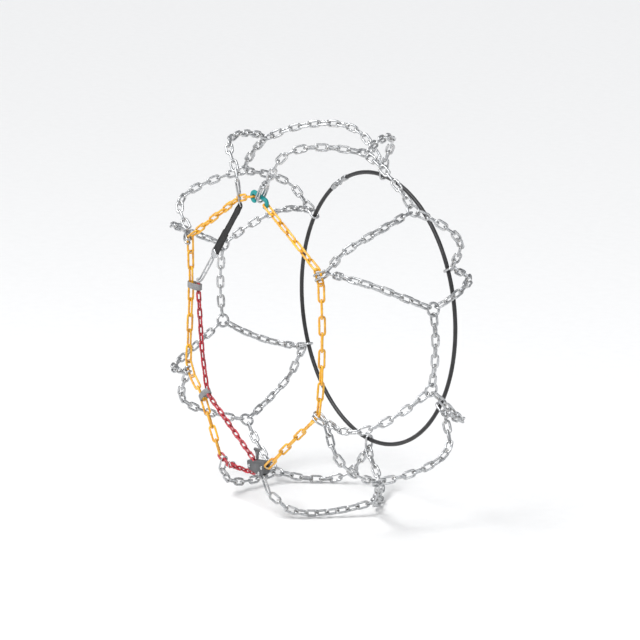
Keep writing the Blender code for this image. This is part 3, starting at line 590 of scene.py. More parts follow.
class Nodes:
    """Short ways to add the nodes that the materials and the world use."""

    def __init__(self, tree):
        self.tree = tree

    def add(self, kind, **values):
        node = self.tree.nodes.new(f"ShaderNode{kind}")
        for label, value in values.items():
            self.put(node.inputs[label.replace("_", " ")], value)
        return node

    def put(self, socket, value):
        """Gives a socket a link, a colour or a number."""
        if isinstance(value, bpy.types.NodeSocket):
            self.tree.links.new(value, socket)
        elif isinstance(value, tuple) and socket.type == "RGBA":
            socket.default_value = (*value, 1)
        else:
            socket.default_value = value

    def noise(self, scale, detail=4.0, roughness=0.55, stretch=None):
        place = self.add("TexCoord").outputs["Object"]
        if stretch:
            place = self.add("Mapping", Scale=stretch, Vector=place).outputs["Vector"]
        noise = self.add("TexNoise", Scale=scale, Detail=detail, Roughness=roughness, Vector=place)
        return noise.outputs["Fac"]

    def ramp(self, source, stops):
        ramp = self.add("ValToRGB", Fac=source)
        elements = ramp.color_ramp.elements
        while len(elements) < len(stops):
            elements.new(0.5)
        for element, (place, colour) in zip(elements, stops):
            element.position = place
            element.color = (*colour, 1)
        return ramp.outputs["Color"]

    def spread(self, source, low, high, to_low, to_high):
        """The source's range from low to high, mapped to another."""
        ranges = {"From_Min": low, "From_Max": high, "To_Min": to_low, "To_Max": to_high}
        return self.add("MapRange", Value=source, **ranges).outputs["Result"]

    def mix(self, factor, a, b, mode="MIX"):
        mix = self.tree.nodes.new("ShaderNodeMix")
        mix.data_type = "RGBA"
        mix.blend_type = mode
        for place, value in ((0, factor), (6, a), (7, b)):
            self.put(mix.inputs[place], value)
        return mix.outputs[2]

    def math(self, operation, a, b):
        node = self.tree.nodes.new("ShaderNodeMath")
        node.operation = operation
        self.put(node.inputs[0], a)
        self.put(node.inputs[1], b)
        return node.outputs[0]

    def attribute(self, name):
        node = self.tree.nodes.new("ShaderNodeAttribute")
        node.attribute_name = name
        return node.outputs["Fac"]


class Paint(Nodes):
    """One material, whose shader's inputs are set by name."""

    def __init__(self, name):
        self.material = bpy.data.materials.new(name)
        self.material.use_nodes = True
        super().__init__(self.material.node_tree)
        self.shader = self.tree.nodes["Principled BSDF"]

    def set(self, label, value):
        self.put(self.shader.inputs[label], value)

    def bump(self, height, strength, distance):
        bump = self.add("Bump", Strength=strength, Distance=distance, Height=height)
        self.set("Normal", bump.outputs["Normal"])


def zinc(name, bright=1.0):
    """Bright zinc plated wire: slightly uneven plating, polished where links rub, dull specks elsewhere."""
    paint = Paint(name)
    paint.set("Metallic", 1.0)
    base = paint.ramp(paint.noise(160, 5), [
        (0.30, (0.40 * bright, 0.41 * bright, 0.43 * bright)),
        (0.52, (0.54 * bright, 0.55 * bright, 0.56 * bright)),
        (0.72, (0.68 * bright, 0.68 * bright, 0.68 * bright)),
    ])
    tone = paint.spread(paint.attribute("tone"), 0, 1, 0.86, 1.06)
    toned = paint.mix(1.0, base, tone, "MULTIPLY")
    specks = paint.spread(paint.noise(900, 3), 0.62, 0.70, 0, 0.55)
    spotted = paint.mix(specks, toned, (0.24, 0.24, 0.25))
    paint.set("Base Color", paint.mix(paint.attribute("wear"), spotted, (0.74, 0.73, 0.71)))
    rough = paint.spread(paint.noise(420, 4), 0.3, 0.7, 0.22, 0.42)
    rubbed = paint.math("MULTIPLY", paint.attribute("wear"), 0.12)
    paint.set("Roughness", paint.math("SUBTRACT", rough, rubbed))
    paint.bump(paint.noise(700, 5, 0.6), 0.25, 0.0003)
    return paint.material


def enamel(name, light, middle, dark):
    """Coloured enamel on steel links, with thin spots, scuffs, and bare steel where links rub."""
    paint = Paint(name)
    base = paint.ramp(paint.noise(130, 5), [(0.28, dark), (0.50, middle), (0.74, light)])
    tone = paint.spread(paint.attribute("tone"), 0, 1, 0.90, 1.05)
    toned = paint.mix(1.0, base, tone, "MULTIPLY")
    dust = paint.spread(paint.noise(60, 3), 0.55, 0.85, 0, 0.16)
    dusty = paint.mix(dust, toned, (0.80, 0.78, 0.72))
    ragged = paint.math("ADD", paint.noise(1100, 4, 0.7), paint.attribute("wear"))
    bare = paint.spread(ragged, 1.08, 1.16, 0, 0.85)
    chips = paint.spread(paint.noise(520, 5, 0.7), 0.66, 0.69, 0, 0.7)
    mask = paint.math("MAXIMUM", bare, chips)
    paint.set("Base Color", paint.mix(mask, dusty, (0.52, 0.50, 0.47)))
    paint.set("Metallic", paint.math("MULTIPLY", mask, 0.8))
    paint.set("Roughness", paint.spread(paint.noise(380, 4), 0.3, 0.7, 0.26, 0.46))
    paint.set("Coat Weight", 0.35)
    paint.set("Coat Roughness", 0.18)
    paint.bump(paint.noise(420, 5, 0.6), 0.22, 0.0004)
    return paint.material


def plastic(name, light, dark, grain=2600, rough=(0.42, 0.62), scuff=(0.5, 0.5, 0.5), bump=0.35):
    """Moulded plastic: fine spark-eroded grain, soft cloudy colour, and paler scuffs."""
    paint = Paint(name)
    cloud = paint.noise(75, 5)
    base = paint.ramp(cloud, [(0.32, dark), (0.68, light)])
    mask = paint.spread(paint.noise(210, 6, 0.65, stretch=(1.0, 1.0, 9.0)), 0.60, 0.72, 0, 0.45)
    paint.set("Base Color", paint.mix(mask, base, scuff))
    paint.set("Roughness", paint.spread(paint.noise(500, 4), 0.3, 0.7, *rough))
    paint.set("Specular IOR Level", 0.45)
    height = paint.math("ADD", paint.noise(grain, 2), paint.math("MULTIPLY", cloud, 0.7))
    paint.bump(height, bump, 0.00025)
    return paint.material


def rubber(name):
    """Black ribbed rubber with grey dust in its grain."""
    paint = Paint(name)
    cloud = paint.noise(190, 6, 0.65)
    paint.set("Base Color", paint.ramp(cloud, [
        (0.30, (0.010, 0.010, 0.011)), (0.62, (0.026, 0.026, 0.027)), (0.80, (0.070, 0.069, 0.066)),
    ]))
    paint.set("Roughness", paint.spread(cloud, 0.3, 0.8, 0.55, 0.85))
    place = paint.add("TexCoord").outputs["Object"]
    weave = paint.add("TexWave", Scale=380, Distortion=1.2, Vector=place).outputs["Fac"]
    paint.bump(paint.math("ADD", weave, cloud), 0.5, 0.0004)
    return paint.material


ZINC = zinc("zinc_wire")
ZINC_DARK = zinc("zinc_hardware", 0.86)
ENAMEL_YELLOW = enamel("yellow_enamel", (0.95, 0.56, 0.020), (0.86, 0.42, 0.010), (0.66, 0.26, 0.004))
ENAMEL_RED = enamel("red_enamel", (0.58, 0.012, 0.035), (0.43, 0.007, 0.022), (0.25, 0.003, 0.012))
TEAL = plastic("teal_plastic", (0.006, 0.300, 0.300), (0.002, 0.200, 0.215), rough=(0.30, 0.46),
               scuff=(0.10, 0.42, 0.42))
GREY = plastic("tensioner_plastic", (0.125, 0.127, 0.132), (0.078, 0.080, 0.084), scuff=(0.24, 0.24, 0.245))
CAP_GREY = plastic("knob_plastic", (0.215, 0.215, 0.220), (0.135, 0.136, 0.140), scuff=(0.36, 0.36, 0.36))
GUIDE = plastic("guide_plastic", (0.300, 0.300, 0.305), (0.190, 0.191, 0.195), scuff=(0.46, 0.46, 0.46))
RUBBER = rubber("strap_rubber_black")
SLEEVE = plastic("hoop_sleeve", (0.030, 0.030, 0.032), (0.014, 0.014, 0.015), grain=1500, rough=(0.30, 0.48),
                 scuff=(0.11, 0.11, 0.11))


def steel_piece(name, shape, nodes=(), material=ZINC_DARK):
    piece(name, shape, "chain_net", material, nodes)


# Tread net


def tread_rings():
    for name, (degrees, y) in RINGS.items():
        centre = on_wheel(RING_SEAT_R, y, degrees)
        out = outward(centre)
        side = out.cross(Y).normalized()
        shape = Shape()
        points = arc(centre, side * RING_R, Y * RING_R, turns(48))
        sweep(shape, points, circle(RING_WIRE, 12), closed=True, up=out, tone=RNG.random())
        piece(f"ring_{name}_wire", shape, f"ring_{name}", ZINC, [f"tread_ring_{name}"])


def connector(k, held, grip):
    """Double-wire hook at corner k round what it holds, with a rounded head for the two silver chains."""
    out = on_wheel(1, 0, corner_angle(k))
    along = round_wheel(out)
    head = on_wheel(HEAD_R, HEAD_Y, corner_angle(k))
    reach = (head - held).dot(out)
    rise = (head - held).dot(Y)
    outline = [
        (-1.10 * grip, 0, 1.0), (-0.80 * grip, -0.72 * grip, 1.0), (0, -grip, 1.0),
        (0.40 * reach, -0.85 * grip + 0.25 * rise, 1.05), (0.75 * reach, 0.70 * rise - 0.0022, 1.1),
        (reach - 0.0022, rise - 0.0018, 0.86), (reach - 0.0012, rise, 0.80),
        (reach - 0.0022, rise + 0.0018, 0.84),
        (0.70 * reach, 0.80 * rise + 0.0024, 0.95), (0.35 * reach, 0.90 * grip + 0.2 * rise, 1.0),
        (0, grip, 1.0), (-0.80 * grip, 0.72 * grip, 1.0),
    ]
    shape = Shape()
    for sign in (1, -1):
        loop = [held + out * u + Y * v + along * sign * CONNECTOR_SPREAD * w for u, v, w in outline]
        wire(shape, curve_through(loop, per=4, closed=True), HOOK_WIRE, closed=True, sides=9, tone=0.75)
    cap = arc(head - out * CAP_R, along * CAP_HALF, out * CAP_R, stepped(0, 180, 8))
    wire(shape, curve_through(cap, per=3), HOOK_WIRE, sides=10, tone=0.9)
    steel_piece(f"connector_{k}", shape, [f"side_connector_{k}"])


def outer_arms():
    for k in (2, 3, 5, 6):
        shape = Shape()
        degrees = corner_angle(k)
        for ring, sign in ((f"{k}a", 1), (f"{k}b", -1)):
            start = (HEAD_R - HOOK_WIRE - 0.0002, HEAD_Y, degrees + sign * ARM_TURN)
            run(shape, arm_path(start, ring, -1), SILVER, seat_normal, first=sign)
        steel_piece(f"links_outer_{k}", shape, [f"outer_cross_chain_{k}"], ZINC)
    ends = {
        "top_left": (LEFT_HOOK_HEAD, "1a"), "top_right": (BOW_HEAD, "1b"),
        "bottom_left": (LOW_LINK_HEAD, "4b"), "bottom_right": (TENSIONER_HOOK_HEAD, "4a"),
    }
    for name, (head, ring) in ends.items():
        radius, degrees = polar(head)
        shape = Shape()
        start = (radius - HEAD_INSET, -SIDE_Y, degrees)
        flat = 1 if name == "bottom_right" else -1
        run(shape, arm_path(start, ring, -1), SILVER, seat_normal, ends=(flat, 1))
        steel_piece(f"links_outer_{name}", shape, [f"outer_cross_chain_{name}"], ZINC)


def inner_arms():
    """Each inner corner hangs on a loop round the hoop."""
    for k in range(1, 7):
        degrees = corner_angle(k) + INNER_TURN
        shape = Shape()
        foot = on_wheel(SIDE_R - INNER_FOOT, SIDE_Y, degrees)
        head = on_wheel(INNER_HEAD_R, SIDE_Y, degrees)
        wire(shape, oval(foot, head, Y, INNER_LOOP_HALF), INNER_LOOP_WIRE, closed=True, sides=10, tone=0.6)
        for ring, sign in ((f"{k}a", 1), (f"{k}b", -1)):
            start = (INNER_HEAD_R - INNER_LOOP_WIRE, SIDE_Y - sign * INNER_ARM_OUT,
                     degrees + sign * INNER_ARM_TURN)
            run(shape, arm_path(start, ring, 1), SILVER, seat_normal, ends=(-1, 1), first=sign)
        steel_piece(f"links_inner_{k}", shape, [f"inner_cross_chain_{k}"], ZINC)


def centre_runs():
    for k in range(1, 7):
        following = k % 6 + 1
        (degrees_b, y_b), (degrees_a, y_a) = RINGS[f"{k}b"], RINGS[f"{following}a"]
        degrees_a += 360 * round((degrees_b - degrees_a) / 360)
        path = []
        for i in range(PATH_STEPS + 1):
            share = i / PATH_STEPS
            degrees = degrees_b + (degrees_a - degrees_b) * share
            path.append(on_wheel(CROWN_R, y_b + (y_a - y_b) * share, degrees))
        path = into_ring(path, on_wheel(CROWN_R, y_a, degrees_a))
        path = into_ring(path[::-1], on_wheel(CROWN_R, y_b, degrees_b))
        shape = Shape()
        run(shape, path, SILVER, seat_normal)
        steel_piece(f"links_centre_{k}_{following}", shape, [f"centre_chain_{k}_{following}"], ZINC)


# Side chain


def side_runs():
    """Yellow links. One link lies at each corner, held by its connector."""
    held = {}

    def chain(shape, stops, first):
        """stops are points, or (corner, place, twist before, twist after). A place of 0 centres the corner's
        link on the corner, along the side chain's circle, and 1 puts it just after the corner."""
        sign = first
        path, twist = [stops[0]], stops[1]
        for i, stop in enumerate(stops[2:], 2):
            if isinstance(stop, Vector):
                path.append(stop)
                continue
            k, place, before, after = stop
            out = on_wheel(1, 0, corner_angle(k))
            if place:
                a = corner(k) - out * EARLY_SINK
                b = a + (stops[i + 1] - a).normalized() * YELLOW[0]
            else:
                tangent = round_wheel(out)
                if (path[-1] - corner(k)).dot(tangent) < 0:
                    tangent.negate()
                a = corner(k) - out * CORNER_SINK + tangent * YELLOW[0] / 2
                b = a - tangent * YELLOW[0]
            sign = -run(shape, smoothed(path + [a]), YELLOW, away, ends=(0, 0), first=sign, sides=10,
                        twist=(twist, before))
            lean = math.radians(CONNECTOR_LEAN)
            across = out * math.cos(lean) + STREET * math.sin(lean) * (1 if k > 4 else sign)
            link(shape, a, b, across, YELLOW, 10)
            if k > 4:
                held[k] = (a.lerp(b, 0.32 if place else 0.5) + across.normalized() * YELLOW[2], REAR_GRIP)
            else:
                held[k] = (a.lerp(b, 0.08 if place else 0.5), FRONT_GRIP)
            sign = -sign
            path, twist = [b], after
        run(shape, smoothed(path), YELLOW, away, ends=(0, 0), first=sign, sides=10, twist=(twist, 0))

    lobe = street(LEFT_LOBE)
    towards = (street(LEFT_END) - lobe).normalized()
    shape = Shape()
    chain(shape, [lobe + towards * LOBE_GRIP, 45, street(LEFT_END), (6, 1, 45, 45),
                  street(UPPER_GUIDE_YELLOW), (5, 0, 45, 0), street(LOWER_GUIDE_YELLOW),
                  street(YELLOW_END)], 1)
    piece("links_yellow_left", shape, "chain_net", ENAMEL_YELLOW, ["side_chain_left"])

    lobe = street(RIGHT_LOBE)
    towards = (corner(2) - lobe).normalized()
    shape = Shape()
    *bow, end = [Vector(p) for p in (*RIGHT_BOW, RIGHT_END)]
    chain(shape, [lobe + towards * LOBE_GRIP, 45, (2, 0, 40, 0), *bow, (3, 1, 40, 0), end], 1)
    piece("links_yellow_right", shape, "chain_net", ENAMEL_YELLOW, ["side_chain_right"])
    return held


def tension_run():
    wheel = Vector((TENSIONER[0] + WHEEL[0], CHAIN_Y, TENSIONER[1] + WHEEL[1]))
    guide = street(LOWER_GUIDE_RED)
    leaving = math.atan2(guide.z - wheel.z, guide.x - wheel.x) - math.pi / 2
    first = math.radians(WRAP_START)
    angles = [first + (leaving - first) * step / WRAP_STEPS for step in range(WRAP_STEPS + 1)]
    wrap = arc(wheel, X * WRAP_R, Z * WRAP_R, angles)
    before = [street(YELLOW_END)] + [street(point) for point in (TENSION_START, *TENSION_SAG)]
    after = [street(point) for point in (LOWER_GUIDE_RED, TENSION_BEND, UPPER_GUIDE_RED, TENSION_END)]
    path = curve_through(before + wrap[:1], per=6)[:-1] + wrap + smoothed([wrap[-1]] + after)[1:]
    shape = Shape()
    run(shape, path, RED, away, ends=(0, 0), sides=8, twist=(10, 45), stout=4)
    piece("links_red", shape, "chain_net", ENAMEL_RED, ["tension_chain"])
    centre = street(TENSION_SAG[0]).lerp(street(TENSION_SAG[1]), 0.25)
    shape = Shape()
    ring = arc(centre, Z * OPEN_RING_R, (X * 0.2 + Y) * OPEN_RING_R, stepped(*OPEN_RING_ARC))
    wire(shape, ring, OPEN_RING_WIRE, sides=8, tone=0.9)
    steel_piece("open_ring", shape, material=ZINC)


# Closure at the top


def closing_hook():
    """Thick S-hook cut like a plate, with a rounded tip on the left and a narrow one on the right."""
    points = arc(street(LEFT_LOBE), X * LOBE_R, Z * LOBE_R, stepped(*LEFT_ARC))
    points.append(street(HOOK_WAIST))
    points += arc(street(RIGHT_LOBE), X * LOBE_R, Z * LOBE_R, stepped(*RIGHT_ARC))
    path = curve_through(points, per=5)
    total = len(path) - 1
    scales = []
    for i in range(len(path)):
        share = i / total
        left_tip = math.sin(math.pi / 2 * min(1, share / 0.06))
        right_tip = math.sin(math.pi / 2 * min(1, (1 - share) / 0.20))
        thick = (0.45 + 0.55 * left_tip) * (0.35 + 0.65 * right_tip) * (1.10 - 0.28 * share)
        wide = (0.55 + 0.45 * left_tip) * (0.62 + 0.38 * right_tip)
        scales.append((thick, wide * (1 + 0.10 * math.sin(math.pi * share))))
    shape = Shape()
    sweep(shape, path, rounded_box(*HOOK_SECTION), up=Y, scales=scales)
    piece("teal_hook", shape, "closing_hook_lever", TEAL, ["closing_hook"])


def closing_bow():
    """Two parallel wires round the hook's waist, joined at the foot, with small rings at the head."""
    foot, head = street(BOW_FOOT), street(BOW_HEAD)
    along, side = axes(foot, head)
    shape = Shape()
    for sign in (1, -1):
        shift = side * sign * BOW_SPREAD
        loop = oval(foot + shift - along * 0.0008, head + shift * BOW_NARROWING, Y, BOW_HALF)
        wire(shape, loop, HOOK_WIRE, closed=True, tone=0.8)
    low = foot - along * BRIDGE_BELOW
    bridge = [low + side * BOW_SPREAD * t + STREET * BRIDGE_PROUD * (1 - t * t)
              for t in [-1 + i / 4 for i in range(9)]]
    wire(shape, bridge, HOOK_WIRE, tone=0.7)
    ring_centre = head + along * 0.0020
    for sign in (1, -1):
        centre = ring_centre + side * sign * BOW_RING_OUT
        ring = arc(centre, along * BOW_RING_R, STREET * BOW_RING_R, turns(20))
        wire(shape, ring, THIN_WIRE, closed=True, tone=0.6)
    steel_piece("bow", shape, ["closing_bow"])


def left_hook():
    """Long double-wire hook with a pointed lower tip."""
    foot, head = street(LEFT_HOOK_FOOT), street(LEFT_HOOK_HEAD)
    along, side = axes(foot, head)
    plane = (Y * 0.82 + side * 0.57).normalized()
    shape = Shape()
    wire(shape, spindle(foot, head, plane, LEFT_HOOK_WIDTHS), HOOK_WIRE, closed=True, tone=0.9)
    tip = curve_through([foot + along * 0.0040, foot + along * 0.0010, foot - along * 0.0035], per=3)
    taper = [(1.0 - 0.62 * (i / 6) ** 1.4,) * 2 for i in range(7)]
    sweep(shape, tip, circle(0.0020, 10), scales=taper, tone=0.9)
    steel_piece("left_hook", shape, ["left_end_hook"])


def low_link():
    foot, head = street(LOW_LINK_FOOT), street(LOW_LINK_HEAD)
    shape = Shape()
    wire(shape, oval(foot, head, Y, LOW_LINK_HALF), LOOP_WIRE, closed=True, tone=0.8)
    steel_piece("low_link", shape, ["lower_left_link"])


# Strap and its hook


def strap():
    """Ribbed flat band: single above, folded back and sewn below, with a bright crimped end clip."""
    top, end = street(STRAP_TOP), street(STRAP_END)
    down, across = axes(top, end)
    length = (end - top).length - CLIP_LENGTH
    path, scales = [], []
    for i in range(STRAP_STEPS + 1):
        share = i / STRAP_STEPS
        path.append(top + down * length * share)
        rib = 1 + 0.13 * math.cos(math.tau * share * STRAP_RIBS)
        folded = 1.0 if 0.12 < share < FOLD_START else 1.7
        narrow = 0.78 if share < FOLD_START else 0.97
        neck = 0.62 + 0.38 * math.sin(math.pi / 2 * min(1, share / 0.08))
        wander = 1 + 0.025 * math.sin(share * 17) + 0.015 * math.sin(share * 41 + 1)
        scales.append((narrow * neck * wander, rib * folded * 0.92))
    shape = Shape()
    sweep(shape, path, rounded_box(*STRAP_SECTION), up=Y, scales=scales)
    # Two cords sewn in along the edges, and three sewn seams over the folded part
    for sign in (1, -1):
        edge = [p + across * sign * CORD_OUT * wide + STREET * 0.00112 * tall
                for p, (wide, tall) in zip(path, scales)][::3]
        wire(shape, edge, CORD_WIRE, sides=6)
    for share in SEAMS:
        centre = top + down * length * share + STREET * 0.0018
        seam = [centre + across * SEAM_HALF * t for t in (-1, -0.6, -0.2, 0.2, 0.6, 1)]
        wire(shape, curve_through(seam, per=3), SEAM_WIRE, sides=6)
    # Forked loop that hangs on the tip of the left hook
    fork = oval(top + down * 0.0065, top - down * 0.0078, across, 0.0046)
    wire(shape, fork, THIN_WIRE, closed=True, sides=8)
    piece("strap_band", shape, "strap", RUBBER, ["elastic_strap"], flat=50)

    clip = Shape()
    start = top + down * (length - 0.0035)
    clip_path = [start + down * 0.0125 * t / 10 for t in range(11)]
    clip_scales = [(0.97 - 0.34 * max(0, t - 5) / 5, 1.0 + 0.12 * math.cos(t * 1.9)) for t in range(11)]
    sweep(clip, clip_path, rounded_box(*CLIP_SECTION), up=Y, scales=clip_scales, tone=0.9)
    loop = arc(top + down * (length + 0.0102), down * 0.0040, across * 0.0034, turns(24))
    wire(clip, loop, BAR_WIRE, closed=True, tone=0.8)
    piece("strap_clip", clip, "strap", ZINC)


def strap_hook():
    """Two parallel wires, closed by eyes at the top, whose end turns up to catch the red chain."""
    top, tip = street(HOOK_TOP), street(HOOK_TIP)
    down, across = axes(top, tip)
    shape = Shape()
    legs = [[(top, tip)[end] + across * sign * gap + down * below + STREET * proud
             for end, gap, below, proud in HOOK_BENDS] for sign in (1, -1)]
    bend = [tip - down * 0.0078 + STREET * 0.0074]
    path = curve_through(legs[0] + bend + legs[1][::-1], per=6)
    wire(shape, path, THIN_WIRE, sides=10, tone=0.8)
    for share, half in RUNGS:
        crossbar(shape, top.lerp(tip, share) + STREET * 0.0004, across, half, RUNG_WIRE)
    piece("strap_hook_wires", shape, "strap_hook_wire", ZINC_DARK, ["strap_hook"])


# Guides


def guide(name, yellow, red, chain_direction, body):
    """Soft oval band with rounded lips round both chains."""
    yellow, red = street(yellow), street(red)
    along = Vector(chain_direction).normalized()
    across = red - yellow
    across -= along * across.dot(along)
    half = across.length / 2
    across.normalize()
    out = across.cross(along).normalized()
    centre = yellow + across * half
    path = []
    for angle in turns(GUIDE_STEPS):
        c, d = math.cos(angle), math.sin(angle)
        x = (half + GUIDE_PAST) * math.copysign(abs(c) ** GUIDE_SQUARE[0], c)
        z = GUIDE_TALL * math.copysign(abs(d) ** GUIDE_SQUARE[1], d)
        path.append(centre + across * x + out * z)
    dense = [Vector(p) for p in resampled(path + [path[0]], GUIDE_STEPS + 1)][:-1]
    shape = Shape()
    # The lips curl slightly outwards
    section = [(a + LIP_CURL * b * b, b) for a, b in rounded_box(*GUIDE_SECTION)]
    sweep(shape, dense, section, closed=True, up=along)
    piece(f"{name}_band", shape, body, GUIDE, [name])


def guides():
    guide("upper_guide", UPPER_GUIDE_YELLOW, UPPER_GUIDE_RED, street(UPPER_GUIDE_YELLOW) - corner(5),
          "upper_guide_clip")
    lower = street(LOWER_GUIDE_YELLOW)
    guide("lower_guide", LOWER_GUIDE_YELLOW, LOWER_GUIDE_RED,
          (corner(5) - lower).normalized() + (lower - street(YELLOW_END)).normalized(), "lower_guide_clip")


# Inner hoop


def hoop():
    first = CLASP + CLASP_HALF + CLASP_GAP
    span = 360 - 2 * (CLASP_HALF + CLASP_GAP)
    path = [on_wheel(SIDE_R, SIDE_Y, first + span * i / HOOP_STEPS) for i in range(HOOP_STEPS + 1)]
    # The sleeve is a little uneven, and the ferrules below are pressed flatter at even steps
    scales = [(1 + SLEEVE_UNEVEN * math.sin(i * 0.9),) * 2 for i in range(HOOP_STEPS + 1)]
    shape = Shape()
    sweep(shape, path, circle(HOOP_R, 14), up=Y, scales=scales)
    piece("hoop_sleeve", shape, "chain_net", SLEEVE, ["inner_hoop"])

    middle = on_wheel(SIDE_R, SIDE_Y, CLASP)
    out = outward(middle)
    along = round_wheel(out)
    for name, sign in (("hoop_eye", 1), ("hoop_hook", -1)):
        shape = Shape()
        ferrule = [on_wheel(SIDE_R, SIDE_Y, CLASP + sign * (CLASP_HALF - FERRULE_SPAN * i / FERRULE_STEPS))
                   for i in range(FERRULE_STEPS + 1)]
        pressed = [1.0 - PRESSED_DEPTH * max(0, math.cos(math.tau * i / 8)) ** 2
                   for i in range(1, FERRULE_STEPS)]
        scales = [(scale, scale) for scale in (FERRULE_END, *pressed, FERRULE_END)]
        sweep(shape, ferrule, circle(FERRULE_R, 16), up=Y, scales=scales, tone=0.6)
        if sign > 0:
            eye = arc(middle + along * EYE_AT, along * EYE_R, Y * EYE_R, turns(32))
            wire(shape, eye, LOOP_WIRE, closed=True, tone=0.7)
        else:
            centre = middle + along * CLASP_HOOK_AT
            hook = [middle + along * SHANK_AT, centre + along * SHANK_BEND[0] + out * SHANK_BEND[1]]
            hook += arc(centre, along * CLASP_HOOK_R, out * CLASP_HOOK_R, stepped(210, 215, 6))
            wire(shape, curve_through(hook, per=5), CLASP_HOOK_WIRE, tone=0.7)
        steel_piece(f"{name}_end", shape, [name])


# Tensioner


def tensioner_at(point, y):
    return Vector((TENSIONER[0] + point[0], y, TENSIONER[1] + point[1]))


def rounded_outline(outline, radius):
    result = []
    count = len(outline)
    for i, here in enumerate(outline):
        here = Vector(here)
        to_last = (Vector(outline[i - 1]) - here).normalized()
        to_next = (Vector(outline[(i + 1) % count]) - here).normalized()
        half = to_last.angle(to_next) / 2
        centre = here + (to_last + to_next).normalized() * radius / math.sin(half)
        first = here + to_last * radius / math.tan(half) - centre
        last = here + to_next * radius / math.tan(half) - centre
        result += [centre + first.lerp(last, step / 8).normalized() * radius for step in range(9)]
    return result


def shrunk(outline, distance):
    """The outline moved inwards along its own normals."""
    result = []
    for before, here, after in zip(outline[-1:] + outline, outline, outline[1:] + outline[:1]):
        along = (after - before).normalized()
        result.append(here + Vector((along.y, -along.x)) * distance)
    return result


def cover_outline():
    """Points on the cover's edge, which has a shallow wave along its top."""
    base = rounded_outline(BODY, BODY_ROUND)
    points = [Vector(p) for p in resampled(base + [base[0]], COVER_POINTS + 1)][:-1]
    for p in points:
        top = BODY[0][1] + (BODY[1][1] - BODY[0][1]) * (p.x - BODY[0][0]) / (BODY[1][0] - BODY[0][0])
        if top - p.y < WAVE_DEPTH and WAVE_START < p.x < WAVE_STOP:
            fade = min(1, (p.x - WAVE_START) / WAVE_FADE, (WAVE_STOP - p.x) / WAVE_FADE)
            lift = WAVE_HEIGHT * math.sin((p.x - WAVE_START) / WAVE_LENGTH * math.tau)
            p.y += lift * fade * (1 - (top - p.y) / WAVE_DEPTH)
    return points


def box_cutter(name, x_low, x_high, z_low, z_high, y_low, y_high):
    bm = bmesh.new()
    bmesh.ops.create_cube(bm, size=1)
    centre = tensioner_at(((x_low + x_high) / 2, (z_low + z_high) / 2), (y_low + y_high) / 2)
    bmesh.ops.scale(bm, vec=(x_high - x_low, y_high - y_low, z_high - z_low), verts=bm.verts)
    bmesh.ops.translate(bm, vec=centre, verts=bm.verts)
    mesh = bpy.data.meshes.new(name)
    bm.to_mesh(mesh)
    bm.free()
    return mesh


def cut_slots(obj, boxes):
    """Cuts the openings through the cover's wall and keeps the result as a plain mesh."""
    cutters = []
    for i, box in enumerate(boxes):
        cutter = bpy.data.objects.new(f"slot_cutter_{i}", box_cutter(f"slot_cutter_{i}", *box))
        bpy.context.scene.collection.objects.link(cutter)
        modifier = obj.modifiers.new(f"slot_{i}", "BOOLEAN")
        modifier.operation, modifier.solver, modifier.object = "DIFFERENCE", "EXACT", cutter
        cutters.append(cutter)
    bpy.context.view_layer.update()
    evaluated = obj.evaluated_get(bpy.context.evaluated_depsgraph_get())
    mesh = bpy.data.meshes.new_from_object(evaluated)
    obj.modifiers.clear()
    obj.data = mesh
    for cutter in cutters:
        bpy.data.objects.remove(cutter, do_unlink=True)


def cover():
    """Hollow cover: rows of points (inset, y) up its outside, over its face and down its inside."""
    outline = cover_outline()
    count = len(outline)
    wall = FRONT_WALL
    outer = [(0.0, WALL_END_Y), (0.0, FRONT_Y + FILLET)]
    for angle in stepped(0, 90, 5)[1:]:
        outer.append((FILLET * (1 - math.cos(angle)), FRONT_Y + FILLET * (1 - math.sin(angle))))
    outer += [(inset, FRONT_Y + sunk) for inset, sunk in FACE_ROWS]
    inner = [(wall + COVER_RIM, FRONT_Y + wall), (wall, FRONT_Y + wall + COVER_RIM), (wall, WALL_END_Y)]
    verts = []
    for inset, y in outer + inner:
        verts += [tensioner_at(p, y) for p in shrunk(outline, inset)]
    # The last outer and the first inner row are each closed with a face, instead of being joined
    faces = grid_faces(len(outer + inner), count, True)
    outside, inside = (len(outer) - 1) * count, len(outer) * count
    del faces[outside:inside]
    faces += [tuple(range(outside, inside)), tuple(range(inside, inside + count))[::-1]]
    shape = Shape()
    shape.add(verts, faces)
    body = piece("tensioner_cover", shape, "chain_net", GREY,
                 ["tensioner_front_cover"], flat=32)
    low, high = FRONT_Y + wall + SLOT_GAP, CHAIN_Y + SLOT_REACH
    cut_slots(body, [(*slot, low, high) for slot in CHAIN_SLOTS]
              + [(*slot, high - 0.0005, 0.0) for slot in WALL_SLOTS])
    shape = Shape()
    for i, (line, sunk, section) in enumerate(RIBS):
        path = curve_through([tensioner_at(p, FRONT_Y + sunk) for p in line])
        last = len(path) - 1
        tapered = [(min(1, j / 4, (last - j) / 4) * 0.85 + 0.15,) * 2 for j in range(last + 1)]
        sweep(shape, path, rounded_box(*section), up=Y, scales=None if i else tapered)
    piece("tensioner_ribs", shape, "chain_net", GREY, flat=40)


def rivets():
    """Turned rivets, whose domed heads have a washer-like rim and a small dimple."""
    front = FRONT_Y - RIVET_PROUD
    profile = [(RIVET_R, RIVET_TAIL_Y), (RIVET_R, front)]
    profile += [(radius, front - proud) for radius, proud in RIVET_HEAD]
    for name, (x, z) in RIVETS.items():
        verts = [tensioner_at((x + a, z + b), y)
                 for radius, y in profile for a, b in circle(radius, RIVET_SIDES)]
        shape = Shape()
        shape.add(verts, tube_faces(len(profile), RIVET_SIDES, -1), tone=0.9)
        piece(f"rivet_{name}_head", shape, "chain_net", ZINC, [f"rivet_{name}"], flat=50)


